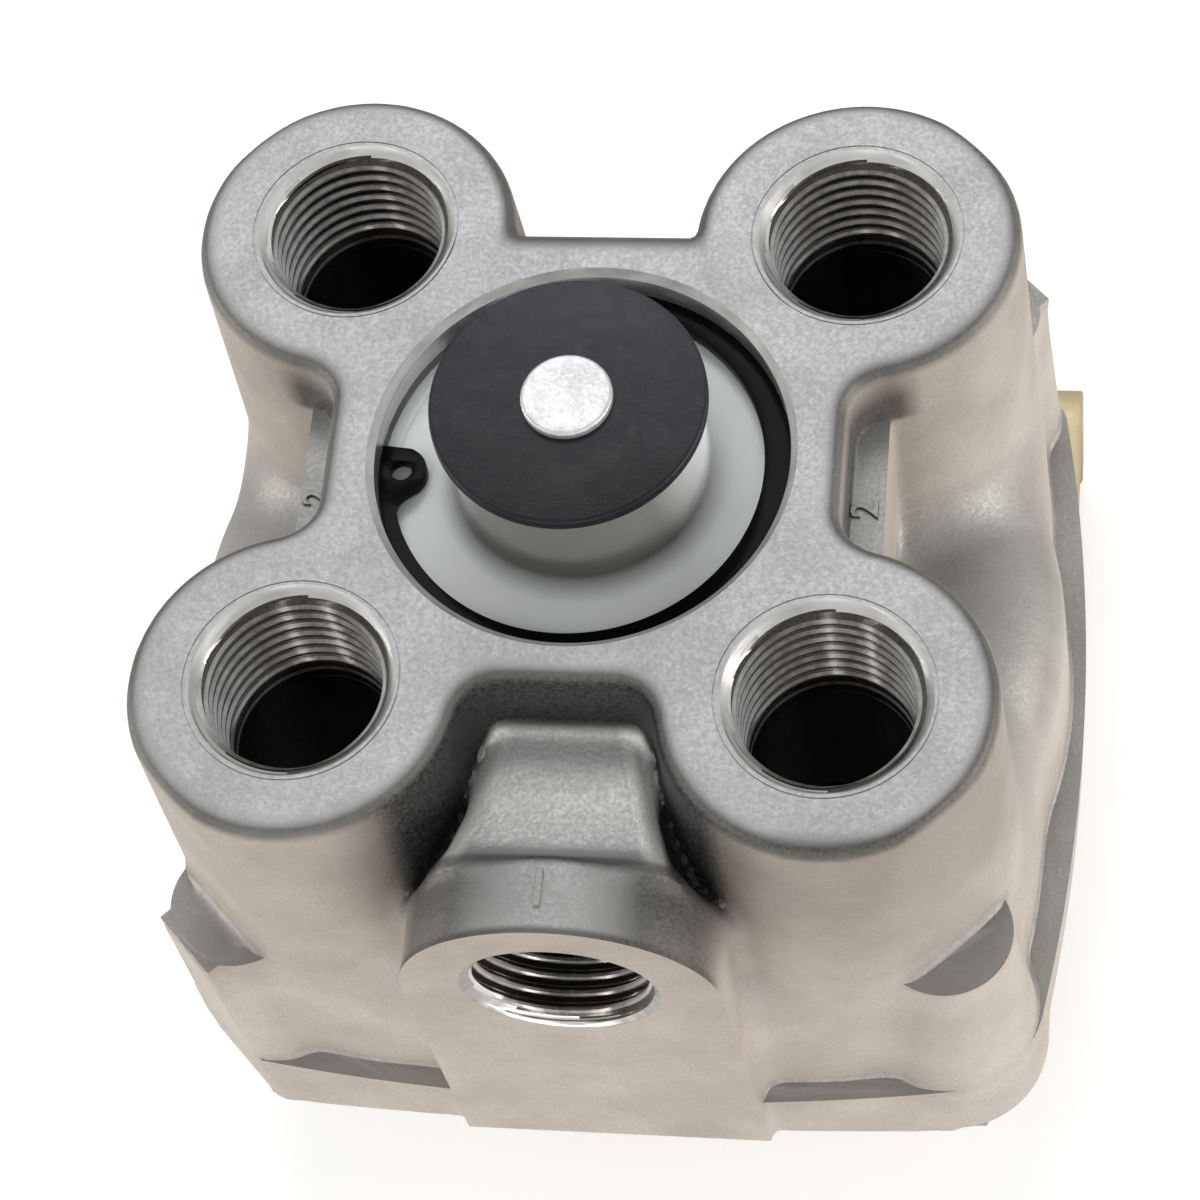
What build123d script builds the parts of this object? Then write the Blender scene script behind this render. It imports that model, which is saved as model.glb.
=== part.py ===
from build123d import *

import os
from math import cos, hypot, radians, sin, sqrt, tan

os.makedirs("parts", exist_ok=True)

# Lengths are in millimetres and angles in degrees. The valve stands on its cover, with
# the four delivery ports and the exhaust facing up and the supply port facing -Y. The
# Z axis is shared by the exhaust, the inlet and exhaust valve and the relay piston.

# Clearances
running_clearance = 0.05  # radial, between a sliding piece and its bore
fit_clearance = 0.1  # radial, between a fixed insert and its bore
seal_clearance = 0.03  # between a round seal and the faces that it lies against
joining_overlap = 1.0  # depth to which joined ribs reach into each other

# Overall heights
cover_depth = 27.0
body_height = 65.0
joint_z = cover_depth
top_z = joint_z + body_height

# Delivery ports, one boss at each corner of a square
port_spacing = 54.0
port_boss_radius = 17.2
port_boss_draft = 2.2
port_thread_radius = 9.16
port_thread_length = 15.0
port_chamfer_radius = 10.8
port_passage_radius = 8.6
top_edge_radius = 2.0

# Web that joins the bosses round the exhaust
web_side = 27.0
web_front = 26.0
web_rear = 28.0
web_corner_radius = 4.0
ledge_drop = 8.5
ledge_half_width = 31.0
ledge_half_length = 20.0

# Supply port, its boss and the pad below it
supply_face = 51.0
supply_drop = 21.3
supply_chamfer_radius = 10.4
supply_passage_radius = 7.2
supply_boss_drop = 22.6
supply_boss_radius = 16.65
supply_boss_length = 8.8
supply_pad_left = 16.0
supply_pad_right = 18.3
supply_z = top_z - supply_drop
supply_boss_z = top_z - supply_boss_drop

# Neck from the web to the supply boss
neck_start = 20.0
neck_bend = 36.0
neck_drop_start = 11.5
neck_drop_bend = 10.5
neck_drop_end = 9.5
neck_half_start = 9.8
neck_half_bend = 10.5
neck_half_end = 13.0
neck_edge_start = 4.8
neck_edge_bend = 4.0
neck_edge_end = 6.5

# Piston chamber and its shoulder
chamber_radius = 44.0
chamber_wall = 6.0
chamber_draft = 1.6
chamber_corner_radius = 4.0
chamber_roof_drop = 39.0
shoulder_drop = 31.0
shoulder_radius = 12.0
cast_fillet_radius = 2.5
chamber_roof_z = top_z - chamber_roof_drop
shoulder_z = top_z - shoulder_drop
chamber_outer_radius = chamber_radius + chamber_wall

# Flange at the joint
flange_thickness = 9.5
flange_reach_x = 1.5
flange_reach_y = 0.5
flange_corner_inset = 3.6
flange_corner_radius = 7.5
flange_middle_x = chamber_outer_radius + flange_reach_x
flange_middle_y = chamber_outer_radius + flange_reach_y
flange_corner = chamber_outer_radius - flange_corner_inset

# Screw columns at the corners of the flange, two of them with a locating pad
screw_wall = 9.74
column_radius = 7.3
column_draft = 6.0
column_drop = 33.0
column_z = top_z - column_drop
locating_flat_reach = 11.2
locating_pad_width = 8.8
locating_pad_foot_width = 11.5
locating_pad_depth = 8.0
tool_flat_reach = 0.02
corner_cut_width = 60.0
screw_spacing = sqrt(2) * (chamber_radius + screw_wall)
locating_flat_distance = chamber_outer_radius + locating_flat_reach
tool_flat_distance = port_spacing / sqrt(2) + port_boss_radius + tool_flat_reach

# Cover
cover_inset = 1.7
cover_flange = 4.0
cover_corner_inset = 3.0
cover_corner = chamber_outer_radius - cover_corner_inset
spigot_height = 3.0
spigot_width = 4.4
dome_wall_side = 4.9
dome_edge_radius = 5.0
dome_z = 9.0
dome_wall = 4.0
control_boss_radius = 13.0
control_boss_draft = 3.0
control_boss_inner_radius = 10.0
control_boss_rise = 4.0
control_thread_radius = 7.2
control_thread_length = 12.0
control_chamfer = 1.2
control_passage_radius = 4.0
cover_rib_count = 6
cover_rib_thickness = 3.6
cover_rib_inner_z = 3.0
cover_rib_inset = 4.5
dome_radius = chamber_radius - spigot_width + dome_wall_side
cover_rib_end = dome_radius - cover_rib_inset

# Cover screws and lock washers
screw_radius = 3.95
screw_hole_clearance = 0.55
screw_thread_clearance = 0.05
screw_length = 27.0
screw_head_flats = 12.7
screw_head_height = 5.3
screw_head_crown = 5.9
screw_head_bevel = 30.0
screw_hole_end_gap = 3.0
washer_radius = 6.7
washer_thickness = 2.0
washer_slit = 1.0

# Bracket
bracket_thickness = 3.2
bracket_side_inset = 0.1
bracket_rear_reach = 1.0
bracket_hole_wall = 7.5
bracket_half_width = flange_middle_x - cover_inset - bracket_side_inset
bracket_rear = chamber_outer_radius + bracket_rear_reach
bracket_front = screw_spacing / 2 - bracket_hole_wall
bracket_bend_radius = 0.8
bracket_corner_radius = 3.0
bracket_dome_clearance = 1.5
bracket_slot_spacing = 66.0
bracket_slot_radius = 5.25
bracket_slot_length = 15.0
bracket_slot_z = 9.3

# Relay piston
piston_crown_drop = 47.0
piston_crown_thickness = 5.0
piston_skirt_wall = 5.6
piston_nose_radius = 9.4
piston_nose_bore = 6.9
piston_nose_depth = 9.0
piston_nose_lip = 1.2
piston_stem_radius = 7.0
piston_rib_count = 6
piston_rib_thickness = 3.0
piston_spring_seat_radius = 17.4
piston_travel = 3.3
piston_seal_section = 3.4
piston_lap = 1.3

# Exhaust bore, inlet seat and supply cavity
exhaust_bore_radius = 21.7
exhaust_chamfer = 0.75
ring_groove_drop = 3.5
ring_groove_depth = 1.0
retainer_step_drop = 12.0
cavity_floor_drop = 35.5
inlet_bore_gap = 1.2
inlet_seat_drop = 34.0
inlet_seat_width = 1.2

# Retaining ring
ring_thickness = 1.3
ring_offset = 0.8
ring_inner_radius = 19.5
ring_gap_start = 145.0
ring_gap_end = 174.0
ring_lug_radius = 2.7
ring_lug_hole = 1.15
ring_lug_inset = 2.35

# Exhaust cover, a moulded bell with a spoked hub
cover_ring_thickness = 5.2
bell_rim_radius = 20.3
bell_rim_step = 0.7
bell_foot_radius = 19.4
bell_fillet = 6.3
bell_top_radius = 12.0
bell_throat_radius = 9.8
bell_height = 13.9
bell_wall = 1.9
hub_radius = 4.4
hub_length = 6.0
spoke_count = 4
spoke_thickness = 2.2
spoke_depth = 4.5
cover_ring_seal_section = 2.2

# Exhaust diaphragm, rivet and backing washer
diaphragm_radius = 14.2
diaphragm_thickness = 1.6
diaphragm_edge_radius = 0.4
rivet_head_radius = 4.7
rivet_head_height = 1.0
rivet_head_edge = 0.4
rivet_radius = 2.0
rivet_hole_clearance = 0.05
rivet_tail_radius = 3.1
rivet_tail_height = 1.2
backing_washer_radius = 4.4
backing_washer_thickness = 0.8

# Valve retainer, valve, springs and their seals
retainer_flange = 2.0
retainer_length = 8.0
retainer_wall = 2.2
guide_length = 11.0
guide_wall = 2.6
retainer_seal_section = 2.0
retainer_inner_gap = 1.04
stem_radius = 8.4
stem_wall = 2.0
stem_top_drop = 11.0
stem_seal_section = 1.8
valve_disc_reach = 1.3
valve_plate_thickness = 1.6
valve_rubber_thickness = 2.6
spring_washer_reach = 0.9
spring_washer_thickness = 0.8
valve_spring_gap = 0.55
valve_spring_wire_radius = 0.7
valve_spring_turns = 4.0
stem_bore_radius = stem_radius - stem_wall
guide_radius = stem_radius + running_clearance
guide_outer_radius = guide_radius + guide_wall
valve_spring_radius = guide_outer_radius + valve_spring_gap + valve_spring_wire_radius
valve_disc_radius = valve_spring_radius + valve_disc_reach
spring_washer_radius = valve_spring_radius + spring_washer_reach
retainer_groove = retainer_seal_section + 2 * seal_clearance
retainer_inner_radius = spring_washer_radius + retainer_inner_gap
cavity_radius = retainer_inner_radius + retainer_wall + retainer_groove
inlet_bore_radius = piston_nose_radius + inlet_bore_gap
piston_spring_radius = 20.5
piston_spring_wire_radius = 0.8
piston_spring_turns = 2.25

# Seal between cover and body
joint_seal_wall = 0.8
joint_seal_section = 2.2
joint_seal_radius = chamber_radius + joint_seal_wall + joint_seal_section / 2


def bowed_square(middle_x, middle_y, corner):
    """Square whose four sides bow outwards by a wide arc."""
    with BuildSketch(Plane.XY) as outline:
        with BuildLine():
            ThreePointArc((corner, -corner), (middle_x, 0), (corner, corner))
            ThreePointArc((corner, corner), (0, middle_y), (-corner, corner))
            ThreePointArc((-corner, corner), (-middle_x, 0), (-corner, -corner))
            ThreePointArc((-corner, -corner), (0, -middle_y), (corner, -corner))
        make_face()
    return outline.sketch


def outside_flat(distance, count, angle, mode=Mode.ADD):
    """Strips across the corners, all beyond a distance from the axis."""
    with PolarLocations(distance + chamber_radius / 2, count, start_angle=angle):
        Rectangle(chamber_radius, corner_cut_width, mode=mode)


def round_seal(radius, section, height):
    """Ring of round section, lying level."""
    with Locations((0, 0, height)):
        Torus(radius, section / 2)


# Body
with BuildPart() as body:
    with BuildSketch(Plane.XY.offset(top_z)) as block:
        with Locations((0, (web_rear - web_front) / 2)):
            Rectangle(2 * web_side, web_front + web_rear)
        with GridLocations(port_spacing, port_spacing, 2, 2):
            Circle(port_boss_radius)
        web_reach = max(web_side, web_front, web_rear) + fit_clearance
        notches = [v for v in block.vertices() if max(abs(v.X), abs(v.Y)) < web_reach]
        fillet(notches, web_corner_radius)
    extrude(amount=-body_height, taper=-port_boss_draft)
    fillet(body.faces().sort_by(Axis.Z)[-1].outer_wire().edges(), top_edge_radius)

    # Flats on the bosses that clear the screw columns
    with BuildSketch(Plane.XY.offset(top_z)):
        outside_flat(tool_flat_distance, 4, 45)
    extrude(amount=-body_height, mode=Mode.SUBTRACT)

    # Round piston chamber with a domed shoulder
    chamber_lean = tan(radians(chamber_draft)) * (shoulder_z - shoulder_radius - joint_z)
    shoulder_start = chamber_outer_radius - chamber_lean
    seam_radius = shoulder_start - shoulder_radius
    shoulder_points = [
        (seam_radius + shoulder_radius * cos(radians(turn)),
         shoulder_z - shoulder_radius + shoulder_radius * sin(radians(turn)))
        for turn in (chamber_draft, 20, 40, 65, 90)
    ]
    with BuildSketch(Plane.XZ):
        with BuildLine():
            Line((0, joint_z), (chamber_outer_radius, joint_z))
            Spline(
                (chamber_outer_radius, joint_z),
                *shoulder_points,
                tangents=((-sin(radians(chamber_draft)), cos(radians(chamber_draft))), (-1, 0)),
            )
            Line(shoulder_points[-1], (0, shoulder_z))
            Line((0, shoulder_z), (0, joint_z))
        make_face()
    revolve(axis=Axis.Z)

    # Cast fillets where the bosses and the web stand on the shoulder and run down the chamber
    joins = body.edges().filter_by(lambda e: e.bounding_box().max.Z < shoulder_z + fit_clearance)
    joins = joins.filter_by(lambda e: e.bounding_box().max.Z > joint_z + fit_clearance)
    joins = joins.filter_by(lambda e: hypot((e @ 0.5).X, (e @ 0.5).Y) < chamber_outer_radius)
    joins = joins.filter_by(
        lambda e: e.bounding_box().size.Z > fit_clearance
        or abs(hypot((e @ 0.5).X, (e @ 0.5).Y) - seam_radius) > fit_clearance
        and e.bounding_box().max.Z > shoulder_z - fit_clearance
    )
    fillet(joins, cast_fillet_radius)

    # Ledges in the side pockets
    ledge_z = top_z - ledge_drop
    with BuildSketch(Plane.XY.offset(chamber_roof_z)):
        Rectangle(2 * ledge_half_width, 2 * ledge_half_length)
    extrude(amount=ledge_z - chamber_roof_z)

    # Supply boss with its flat pad, which runs down to the joint
    with BuildSketch(Plane.XZ.offset(supply_face)):
        with Locations((0, supply_boss_z)):
            Circle(supply_boss_radius)
        with BuildLine():
            Polyline(
                (-supply_boss_radius, supply_boss_z),
                (supply_boss_radius, supply_boss_z),
                (supply_pad_right, joint_z),
                (-supply_pad_left, joint_z),
                close=True,
            )
        make_face()
    extrude(amount=-supply_boss_length)

    # Neck that widens from the web to the supply boss
    neck_end = supply_face - supply_boss_length + fit_clearance
    for reach, half_width, drop, edge_radius in (
        (neck_start, neck_half_start, neck_drop_start, neck_edge_start),
        (web_front, neck_half_start, neck_drop_start, neck_edge_start),
        (neck_bend, neck_half_bend, neck_drop_bend, neck_edge_bend),
        (neck_end, neck_half_end, neck_drop_end, neck_edge_end),
    ):
        neck_height = top_z - drop - chamber_roof_z
        with BuildSketch(Plane.XZ.offset(reach)) as neck_section:
            with Locations((0, chamber_roof_z + neck_height / 2)):
                Rectangle(2 * half_width, neck_height)
            fillet(neck_section.vertices().group_by(Axis.Y)[-1], edge_radius)
    loft(ruled=True)

    # Screw columns, with locating pads on the front left and rear right ones
    with BuildSketch(Plane.XY.offset(column_z)):
        with GridLocations(screw_spacing, screw_spacing, 2, 2):
            Circle(column_radius)
    extrude(amount=joint_z - column_z, taper=-column_draft)
    for turn in (45, 225):
        with BuildSketch(Plane(origin=(0, 0, 0), z_dir=(cos(radians(turn)), sin(radians(turn)), 0),
                               x_dir=(-sin(radians(turn)), cos(radians(turn)), 0))
                         .offset(locating_flat_distance)):
            with BuildLine():
                Polyline(
                    (-locating_pad_width / 2, column_z),
                    (locating_pad_width / 2, column_z),
                    (locating_pad_foot_width / 2, joint_z),
                    (-locating_pad_foot_width / 2, joint_z),
                    close=True,
                )
            make_face()
        extrude(amount=-locating_pad_depth)

    # Flange, cut flat at the two locating pads
    with BuildSketch(Plane.XY.offset(joint_z)) as flange:
        add(bowed_square(flange_middle_x, flange_middle_y, flange_corner))
        fillet(flange.vertices(), flange_corner_radius)
    extrude(amount=flange_thickness)
    with BuildSketch(Plane.XY.offset(joint_z)):
        outside_flat(locating_flat_distance, 2, 45)
    extrude(amount=body_height, mode=Mode.SUBTRACT)

    # Exhaust bore, ring groove, step for the retainer, supply cavity and inlet seat
    groove_bottom_drop = ring_groove_drop + ring_thickness + fit_clearance
    seat_outer = inlet_bore_radius + inlet_seat_width
    with BuildSketch(Plane.XZ):
        with BuildLine():
            Polyline(
                (0, top_z),
                (exhaust_bore_radius + exhaust_chamfer, top_z),
                (exhaust_bore_radius, top_z - exhaust_chamfer),
                (exhaust_bore_radius, top_z - ring_groove_drop),
                (exhaust_bore_radius + ring_groove_depth, top_z - ring_groove_drop),
                (exhaust_bore_radius + ring_groove_depth, top_z - groove_bottom_drop),
                (exhaust_bore_radius, top_z - groove_bottom_drop),
                (exhaust_bore_radius, top_z - retainer_step_drop),
                (cavity_radius, top_z - retainer_step_drop),
                (cavity_radius, top_z - cavity_floor_drop),
                (seat_outer, top_z - cavity_floor_drop),
                (seat_outer, top_z - inlet_seat_drop),
                (inlet_bore_radius, top_z - inlet_seat_drop),
                (inlet_bore_radius, chamber_roof_z - fit_clearance),
                (0, chamber_roof_z - fit_clearance),
                close=True,
            )
        make_face()
    revolve(axis=Axis.Z, mode=Mode.SUBTRACT)

    # Piston chamber
    with BuildSketch(Plane.XZ) as chamber_hollow:
        with BuildLine():
            Polyline(
                (0, joint_z),
                (chamber_radius, joint_z),
                (chamber_radius, chamber_roof_z),
                (0, chamber_roof_z),
                close=True,
            )
        make_face()
        outer_corner = chamber_hollow.vertices().group_by(Axis.X)[-1].sort_by(Axis.Y)[-1]
        fillet(outer_corner, chamber_corner_radius)
    revolve(axis=Axis.Z, mode=Mode.SUBTRACT)

    # Threaded ports with a chamfered mouth and a smaller passage behind
    port_chamfer = port_chamfer_radius - port_thread_radius
    supply_chamfer = supply_chamfer_radius - port_thread_radius
    with BuildSketch(Plane.XY.offset(top_z)):
        with GridLocations(port_spacing, port_spacing, 2, 2):
            Circle(port_thread_radius)
    extrude(amount=-port_thread_length - port_chamfer, mode=Mode.SUBTRACT)
    with BuildSketch(Plane.XY.offset(top_z)):
        with GridLocations(port_spacing, port_spacing, 2, 2):
            Circle(port_passage_radius)
    passage_depth = chamber_roof_drop + chamber_corner_radius
    extrude(amount=-passage_depth, mode=Mode.SUBTRACT)
    with BuildSketch(Plane.XY.offset(top_z)):
        with GridLocations(port_spacing, port_spacing, 2, 2):
            Circle(port_chamfer_radius)
    extrude(amount=-port_chamfer, taper=45, mode=Mode.SUBTRACT)
    with BuildSketch(Plane.XZ.offset(supply_face)):
        with Locations((0, supply_z)):
            Circle(port_thread_radius)
    extrude(amount=-port_thread_length - supply_chamfer, mode=Mode.SUBTRACT)
    with BuildSketch(Plane.XZ.offset(supply_face)):
        with Locations((0, supply_z)):
            Circle(supply_passage_radius)
    extrude(amount=cavity_radius - supply_face - supply_passage_radius / 2, mode=Mode.SUBTRACT)
    with BuildSketch(Plane.XZ.offset(supply_face)):
        with Locations((0, supply_z)):
            Circle(supply_chamfer_radius)
    extrude(amount=-supply_chamfer, taper=45, mode=Mode.SUBTRACT)

    # Blind screw holes in the columns
    screw_hole_depth = screw_length - cover_flange - washer_thickness + screw_hole_end_gap
    with BuildSketch(Plane.XY.offset(joint_z)):
        with GridLocations(screw_spacing, screw_spacing, 2, 2):
            Circle(screw_radius + screw_thread_clearance)
    extrude(amount=screw_hole_depth, mode=Mode.SUBTRACT)
body.part.label = "body"
export_step(body.part, "parts/body.step")

# Cover, with a spigot that centres it in the chamber
seal_groove_depth = joint_seal_section + 2 * seal_clearance
cover_flange_z = joint_z - cover_flange
with BuildPart() as cover:
    with BuildSketch(Plane.XY.offset(cover_flange_z)):
        add(bowed_square(flange_middle_x - cover_inset, flange_middle_y - cover_inset, cover_corner))
        outside_flat(locating_flat_distance, 4, 45, Mode.SUBTRACT)
    extrude(amount=cover_flange)
    with BuildSketch(Plane.XZ) as dome:
        with BuildLine():
            Polyline(
                (0, dome_z),
                (dome_radius, dome_z),
                (dome_radius, cover_flange_z),
                (chamber_radius - fit_clearance, cover_flange_z),
                (chamber_radius - fit_clearance, joint_z + spigot_height),
                (0, joint_z + spigot_height),
                close=True,
            )
        make_face()
        dome_corner = dome.vertices().group_by(Axis.X)[-1].sort_by(Axis.Y)[0]
        fillet(dome_corner, dome_edge_radius)
    revolve(axis=Axis.Z)
    with BuildSketch(Plane.XY):
        Circle(control_boss_radius)
    extrude(amount=dome_z + dome_wall / 2, taper=-control_boss_draft)

    # Radial ribs from the control port boss to the edge of the dome
    with BuildSketch(Plane.XZ) as rib_side:
        with BuildLine():
            Polyline(
                (control_boss_radius - joining_overlap, cover_rib_inner_z),
                (cover_rib_end, dome_z),
                (cover_rib_end, dome_z + joining_overlap),
                (control_boss_radius - joining_overlap, dome_z + joining_overlap),
                close=True,
            )
        make_face()
    rib = extrude(rib_side.sketch, amount=cover_rib_thickness / 2, both=True, mode=Mode.PRIVATE)
    with PolarLocations(0, cover_rib_count, start_angle=90):
        add(rib)

    # Control cavity over the piston, control port and passage
    cavity_inner_radius = chamber_radius - spigot_width
    with BuildSketch(Plane.XY.offset(joint_z + spigot_height)):
        Circle(cavity_inner_radius)
    extrude(amount=dome_z + dome_wall - joint_z - spigot_height, mode=Mode.SUBTRACT)
    with BuildSketch(Plane.XY.offset(dome_z)):
        Circle(control_boss_inner_radius)
    extrude(amount=dome_wall + control_boss_rise)
    with BuildSketch(Plane.XY):
        Circle(control_passage_radius)
    extrude(amount=joint_z, mode=Mode.SUBTRACT)
    with BuildSketch(Plane.XY):
        Circle(control_thread_radius)
    extrude(amount=control_chamfer + control_thread_length, mode=Mode.SUBTRACT)
    chamfer(cover.faces().sort_by(Axis.Z)[0].inner_wires()[0].edges(), control_chamfer)

    # Groove for the joint seal and clearance holes for the screws
    with BuildSketch(Plane.XY.offset(joint_z)):
        Circle(joint_seal_radius + seal_groove_depth / 2)
        Circle(joint_seal_radius - seal_groove_depth / 2, mode=Mode.SUBTRACT)
    extrude(amount=-seal_groove_depth, mode=Mode.SUBTRACT)
    with BuildSketch(Plane.XY.offset(joint_z)):
        with GridLocations(screw_spacing, screw_spacing, 2, 2):
            Circle(screw_radius + screw_hole_clearance)
    extrude(amount=-cover_flange, mode=Mode.SUBTRACT)
cover.part.label = "cover"
export_step(cover.part, "parts/cover.step")

with BuildPart() as joint_seal:
    round_seal(joint_seal_radius, joint_seal_section, joint_z - seal_groove_depth / 2)
joint_seal.part.label = "joint_seal"
export_step(joint_seal.part, "parts/joint_seal.step")

# Mounting bracket, folded from flat bar
bracket_top_z = cover_flange_z
bracket_bottom_z = bracket_top_z - bracket_thickness
with BuildPart() as bracket:
    with BuildSketch(Plane.YZ) as bracket_side:
        with BuildLine():
            Polyline(
                (bracket_front, bracket_top_z),
                (bracket_rear, bracket_top_z),
                (bracket_rear, 0),
                (bracket_rear - bracket_thickness, 0),
                (bracket_rear - bracket_thickness, bracket_bottom_z),
                (bracket_front, bracket_bottom_z),
                close=True,
            )
        make_face()
        outer_bend = bracket_side.vertices().group_by(Axis.X)[-1].sort_by(Axis.Y)[-1]
        fillet(outer_bend, bracket_bend_radius + bracket_thickness)
        inner_bend = bracket_side.vertices().group_by(Axis.X)[1].sort_by(Axis.Y)[-1]
        fillet(inner_bend, bracket_bend_radius)
    extrude(amount=bracket_half_width, both=True)
    front_corners = bracket.edges().filter_by(Axis.Z).group_by(Axis.Y)[0]
    fillet(front_corners, bracket_corner_radius)
    foot_corners = bracket.edges().filter_by(Axis.Y).group_by(Axis.Z)[0]
    fillet(foot_corners, bracket_corner_radius)
    with BuildSketch(Plane.XY.offset(bracket_top_z)):
        Circle(dome_radius + bracket_dome_clearance)
    extrude(amount=-bracket_thickness - bracket_bend_radius, mode=Mode.SUBTRACT)
    with BuildSketch(Plane.XY.offset(bracket_top_z)):
        with GridLocations(screw_spacing, screw_spacing, 2, 2):
            Circle(screw_radius + screw_hole_clearance)
    extrude(amount=-bracket_thickness, mode=Mode.SUBTRACT)
    with BuildSketch(Plane.XZ.offset(-bracket_rear)):
        with Locations((0, bracket_slot_z)):
            with GridLocations(bracket_slot_spacing, 1, 2, 1):
                SlotOverall(bracket_slot_length, 2 * bracket_slot_radius)
    extrude(amount=bracket_thickness, mode=Mode.SUBTRACT)
bracket.part.label = "mounting_bracket"
export_step(bracket.part, "parts/mounting_bracket.step")

# Lock washers and cover screws, alike at the four corners
half_spacing = screw_spacing / 2
front_seat_z = cover_flange_z
rear_seat_z = bracket_bottom_z
screw_points = [
    (-half_spacing, -half_spacing, front_seat_z),
    (half_spacing, -half_spacing, front_seat_z),
    (-half_spacing, half_spacing, rear_seat_z),
    (half_spacing, half_spacing, rear_seat_z),
]
with BuildPart() as lock_washer:
    with BuildSketch(Plane.XY.offset(-washer_thickness)):
        Circle(washer_radius)
        Circle(screw_radius + fit_clearance, mode=Mode.SUBTRACT)
        with Locations((washer_radius, 0)):
            Rectangle(2 * washer_radius, washer_slit, mode=Mode.SUBTRACT)
    extrude(amount=washer_thickness)

with BuildPart() as lock_washers:
    with Locations(*screw_points):
        add(lock_washer.part)
lock_washers.part.label = "lock_washers"
export_step(lock_washers.part, "parts/lock_washers.step")

head_bottom_z = -washer_thickness - screw_head_height
screw_head_reach = screw_head_flats / 2 / cos(radians(30)) + fit_clearance
bevel_rise = (screw_head_reach - screw_head_crown) * tan(radians(screw_head_bevel))
with BuildPart() as screw:
    with BuildSketch(Plane.XY.offset(-washer_thickness)):
        RegularPolygon(screw_head_flats / 2, 6, major_radius=False)
    extrude(amount=-screw_head_height)
    with BuildSketch(Plane.XZ):
        with BuildLine():
            Polyline(
                (0, head_bottom_z),
                (screw_head_crown, head_bottom_z),
                (screw_head_reach, head_bottom_z + bevel_rise),
                (screw_head_reach, -washer_thickness),
                (0, -washer_thickness),
                close=True,
            )
        make_face()
    revolve(axis=Axis.Z, mode=Mode.INTERSECT)
    with BuildSketch(Plane.XY.offset(-washer_thickness)):
        Circle(screw_radius)
    extrude(amount=screw_length)
    chamfer(screw.edges().sort_by(Axis.Z)[-1], screw_radius / 5)

with BuildPart() as cover_screws:
    with Locations(*screw_points):
        add(screw.part)
cover_screws.part.label = "cover_screws"
export_step(cover_screws.part, "parts/cover_screws.step")

# Relay piston, a ribbed cup with the exhaust seat on its nose
piston_radius = chamber_radius - running_clearance
piston_crown_z = top_z - piston_crown_drop
piston_foot_z = joint_z + spigot_height
rubber_face_z = top_z - inlet_seat_drop
nose_z = rubber_face_z - piston_lap
piston_seal_z = (piston_crown_z + piston_foot_z) / 2
piston_groove_depth = piston_seal_section + running_clearance + seal_clearance
piston_groove_half = piston_seal_section / 2 + seal_clearance
under_crown_z = piston_crown_z - piston_crown_thickness
with BuildPart() as relay_piston:
    with BuildSketch(Plane.XZ):
        with BuildLine():
            Polyline(
                (0, nose_z - piston_nose_depth),
                (piston_nose_bore, nose_z - piston_nose_depth),
                (piston_nose_bore, nose_z),
                (piston_nose_bore + piston_nose_lip, nose_z),
                (piston_nose_radius, nose_z - piston_nose_lip),
                (piston_nose_radius, piston_crown_z),
                (piston_radius, piston_crown_z),
                (piston_radius, piston_seal_z + piston_groove_half),
                (chamber_radius - piston_groove_depth, piston_seal_z + piston_groove_half),
                (chamber_radius - piston_groove_depth, piston_seal_z - piston_groove_half),
                (piston_radius, piston_seal_z - piston_groove_half),
                (piston_radius, piston_foot_z),
                (piston_radius - piston_skirt_wall, piston_foot_z),
                (piston_radius - piston_skirt_wall, under_crown_z),
                (piston_stem_radius, under_crown_z),
                (piston_stem_radius, piston_foot_z),
                (0, piston_foot_z),
                close=True,
            )
        make_face()
    revolve(axis=Axis.Z)
    rib_start = piston_stem_radius - joining_overlap
    rib_end = piston_radius - piston_skirt_wall + joining_overlap
    with BuildSketch(Plane.XY.offset(piston_foot_z)):
        with PolarLocations((rib_start + rib_end) / 2, piston_rib_count):
            Rectangle(rib_end - rib_start, piston_rib_thickness)
    extrude(amount=under_crown_z - piston_foot_z + joining_overlap)
relay_piston.part.label = "relay_piston"
export_step(relay_piston.part, "parts/relay_piston.step")

with BuildPart() as piston_seal:
    piston_seal_radius = chamber_radius - running_clearance - piston_seal_section / 2
    round_seal(piston_seal_radius, piston_seal_section, piston_seal_z)
piston_seal.part.label = "piston_seal"
export_step(piston_seal.part, "parts/piston_seal.step")

with BuildPart() as piston_spring:
    piston_spring_foot = piston_crown_z + piston_spring_wire_radius + seal_clearance
    piston_spring_top = chamber_roof_z - piston_spring_wire_radius - seal_clearance
    piston_spring_height = piston_spring_top - piston_spring_foot
    with BuildLine() as coil:
        Helix(
            piston_spring_height / piston_spring_turns,
            piston_spring_height,
            piston_spring_radius,
            center=(0, 0, piston_spring_foot),
        )
    with BuildSketch(Plane(origin=coil.line @ 0, z_dir=coil.line % 0)):
        Circle(piston_spring_wire_radius)
    sweep(path=coil.line, is_frenet=True)
piston_spring.part.label = "piston_spring"
export_step(piston_spring.part, "parts/piston_spring.step")

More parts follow.
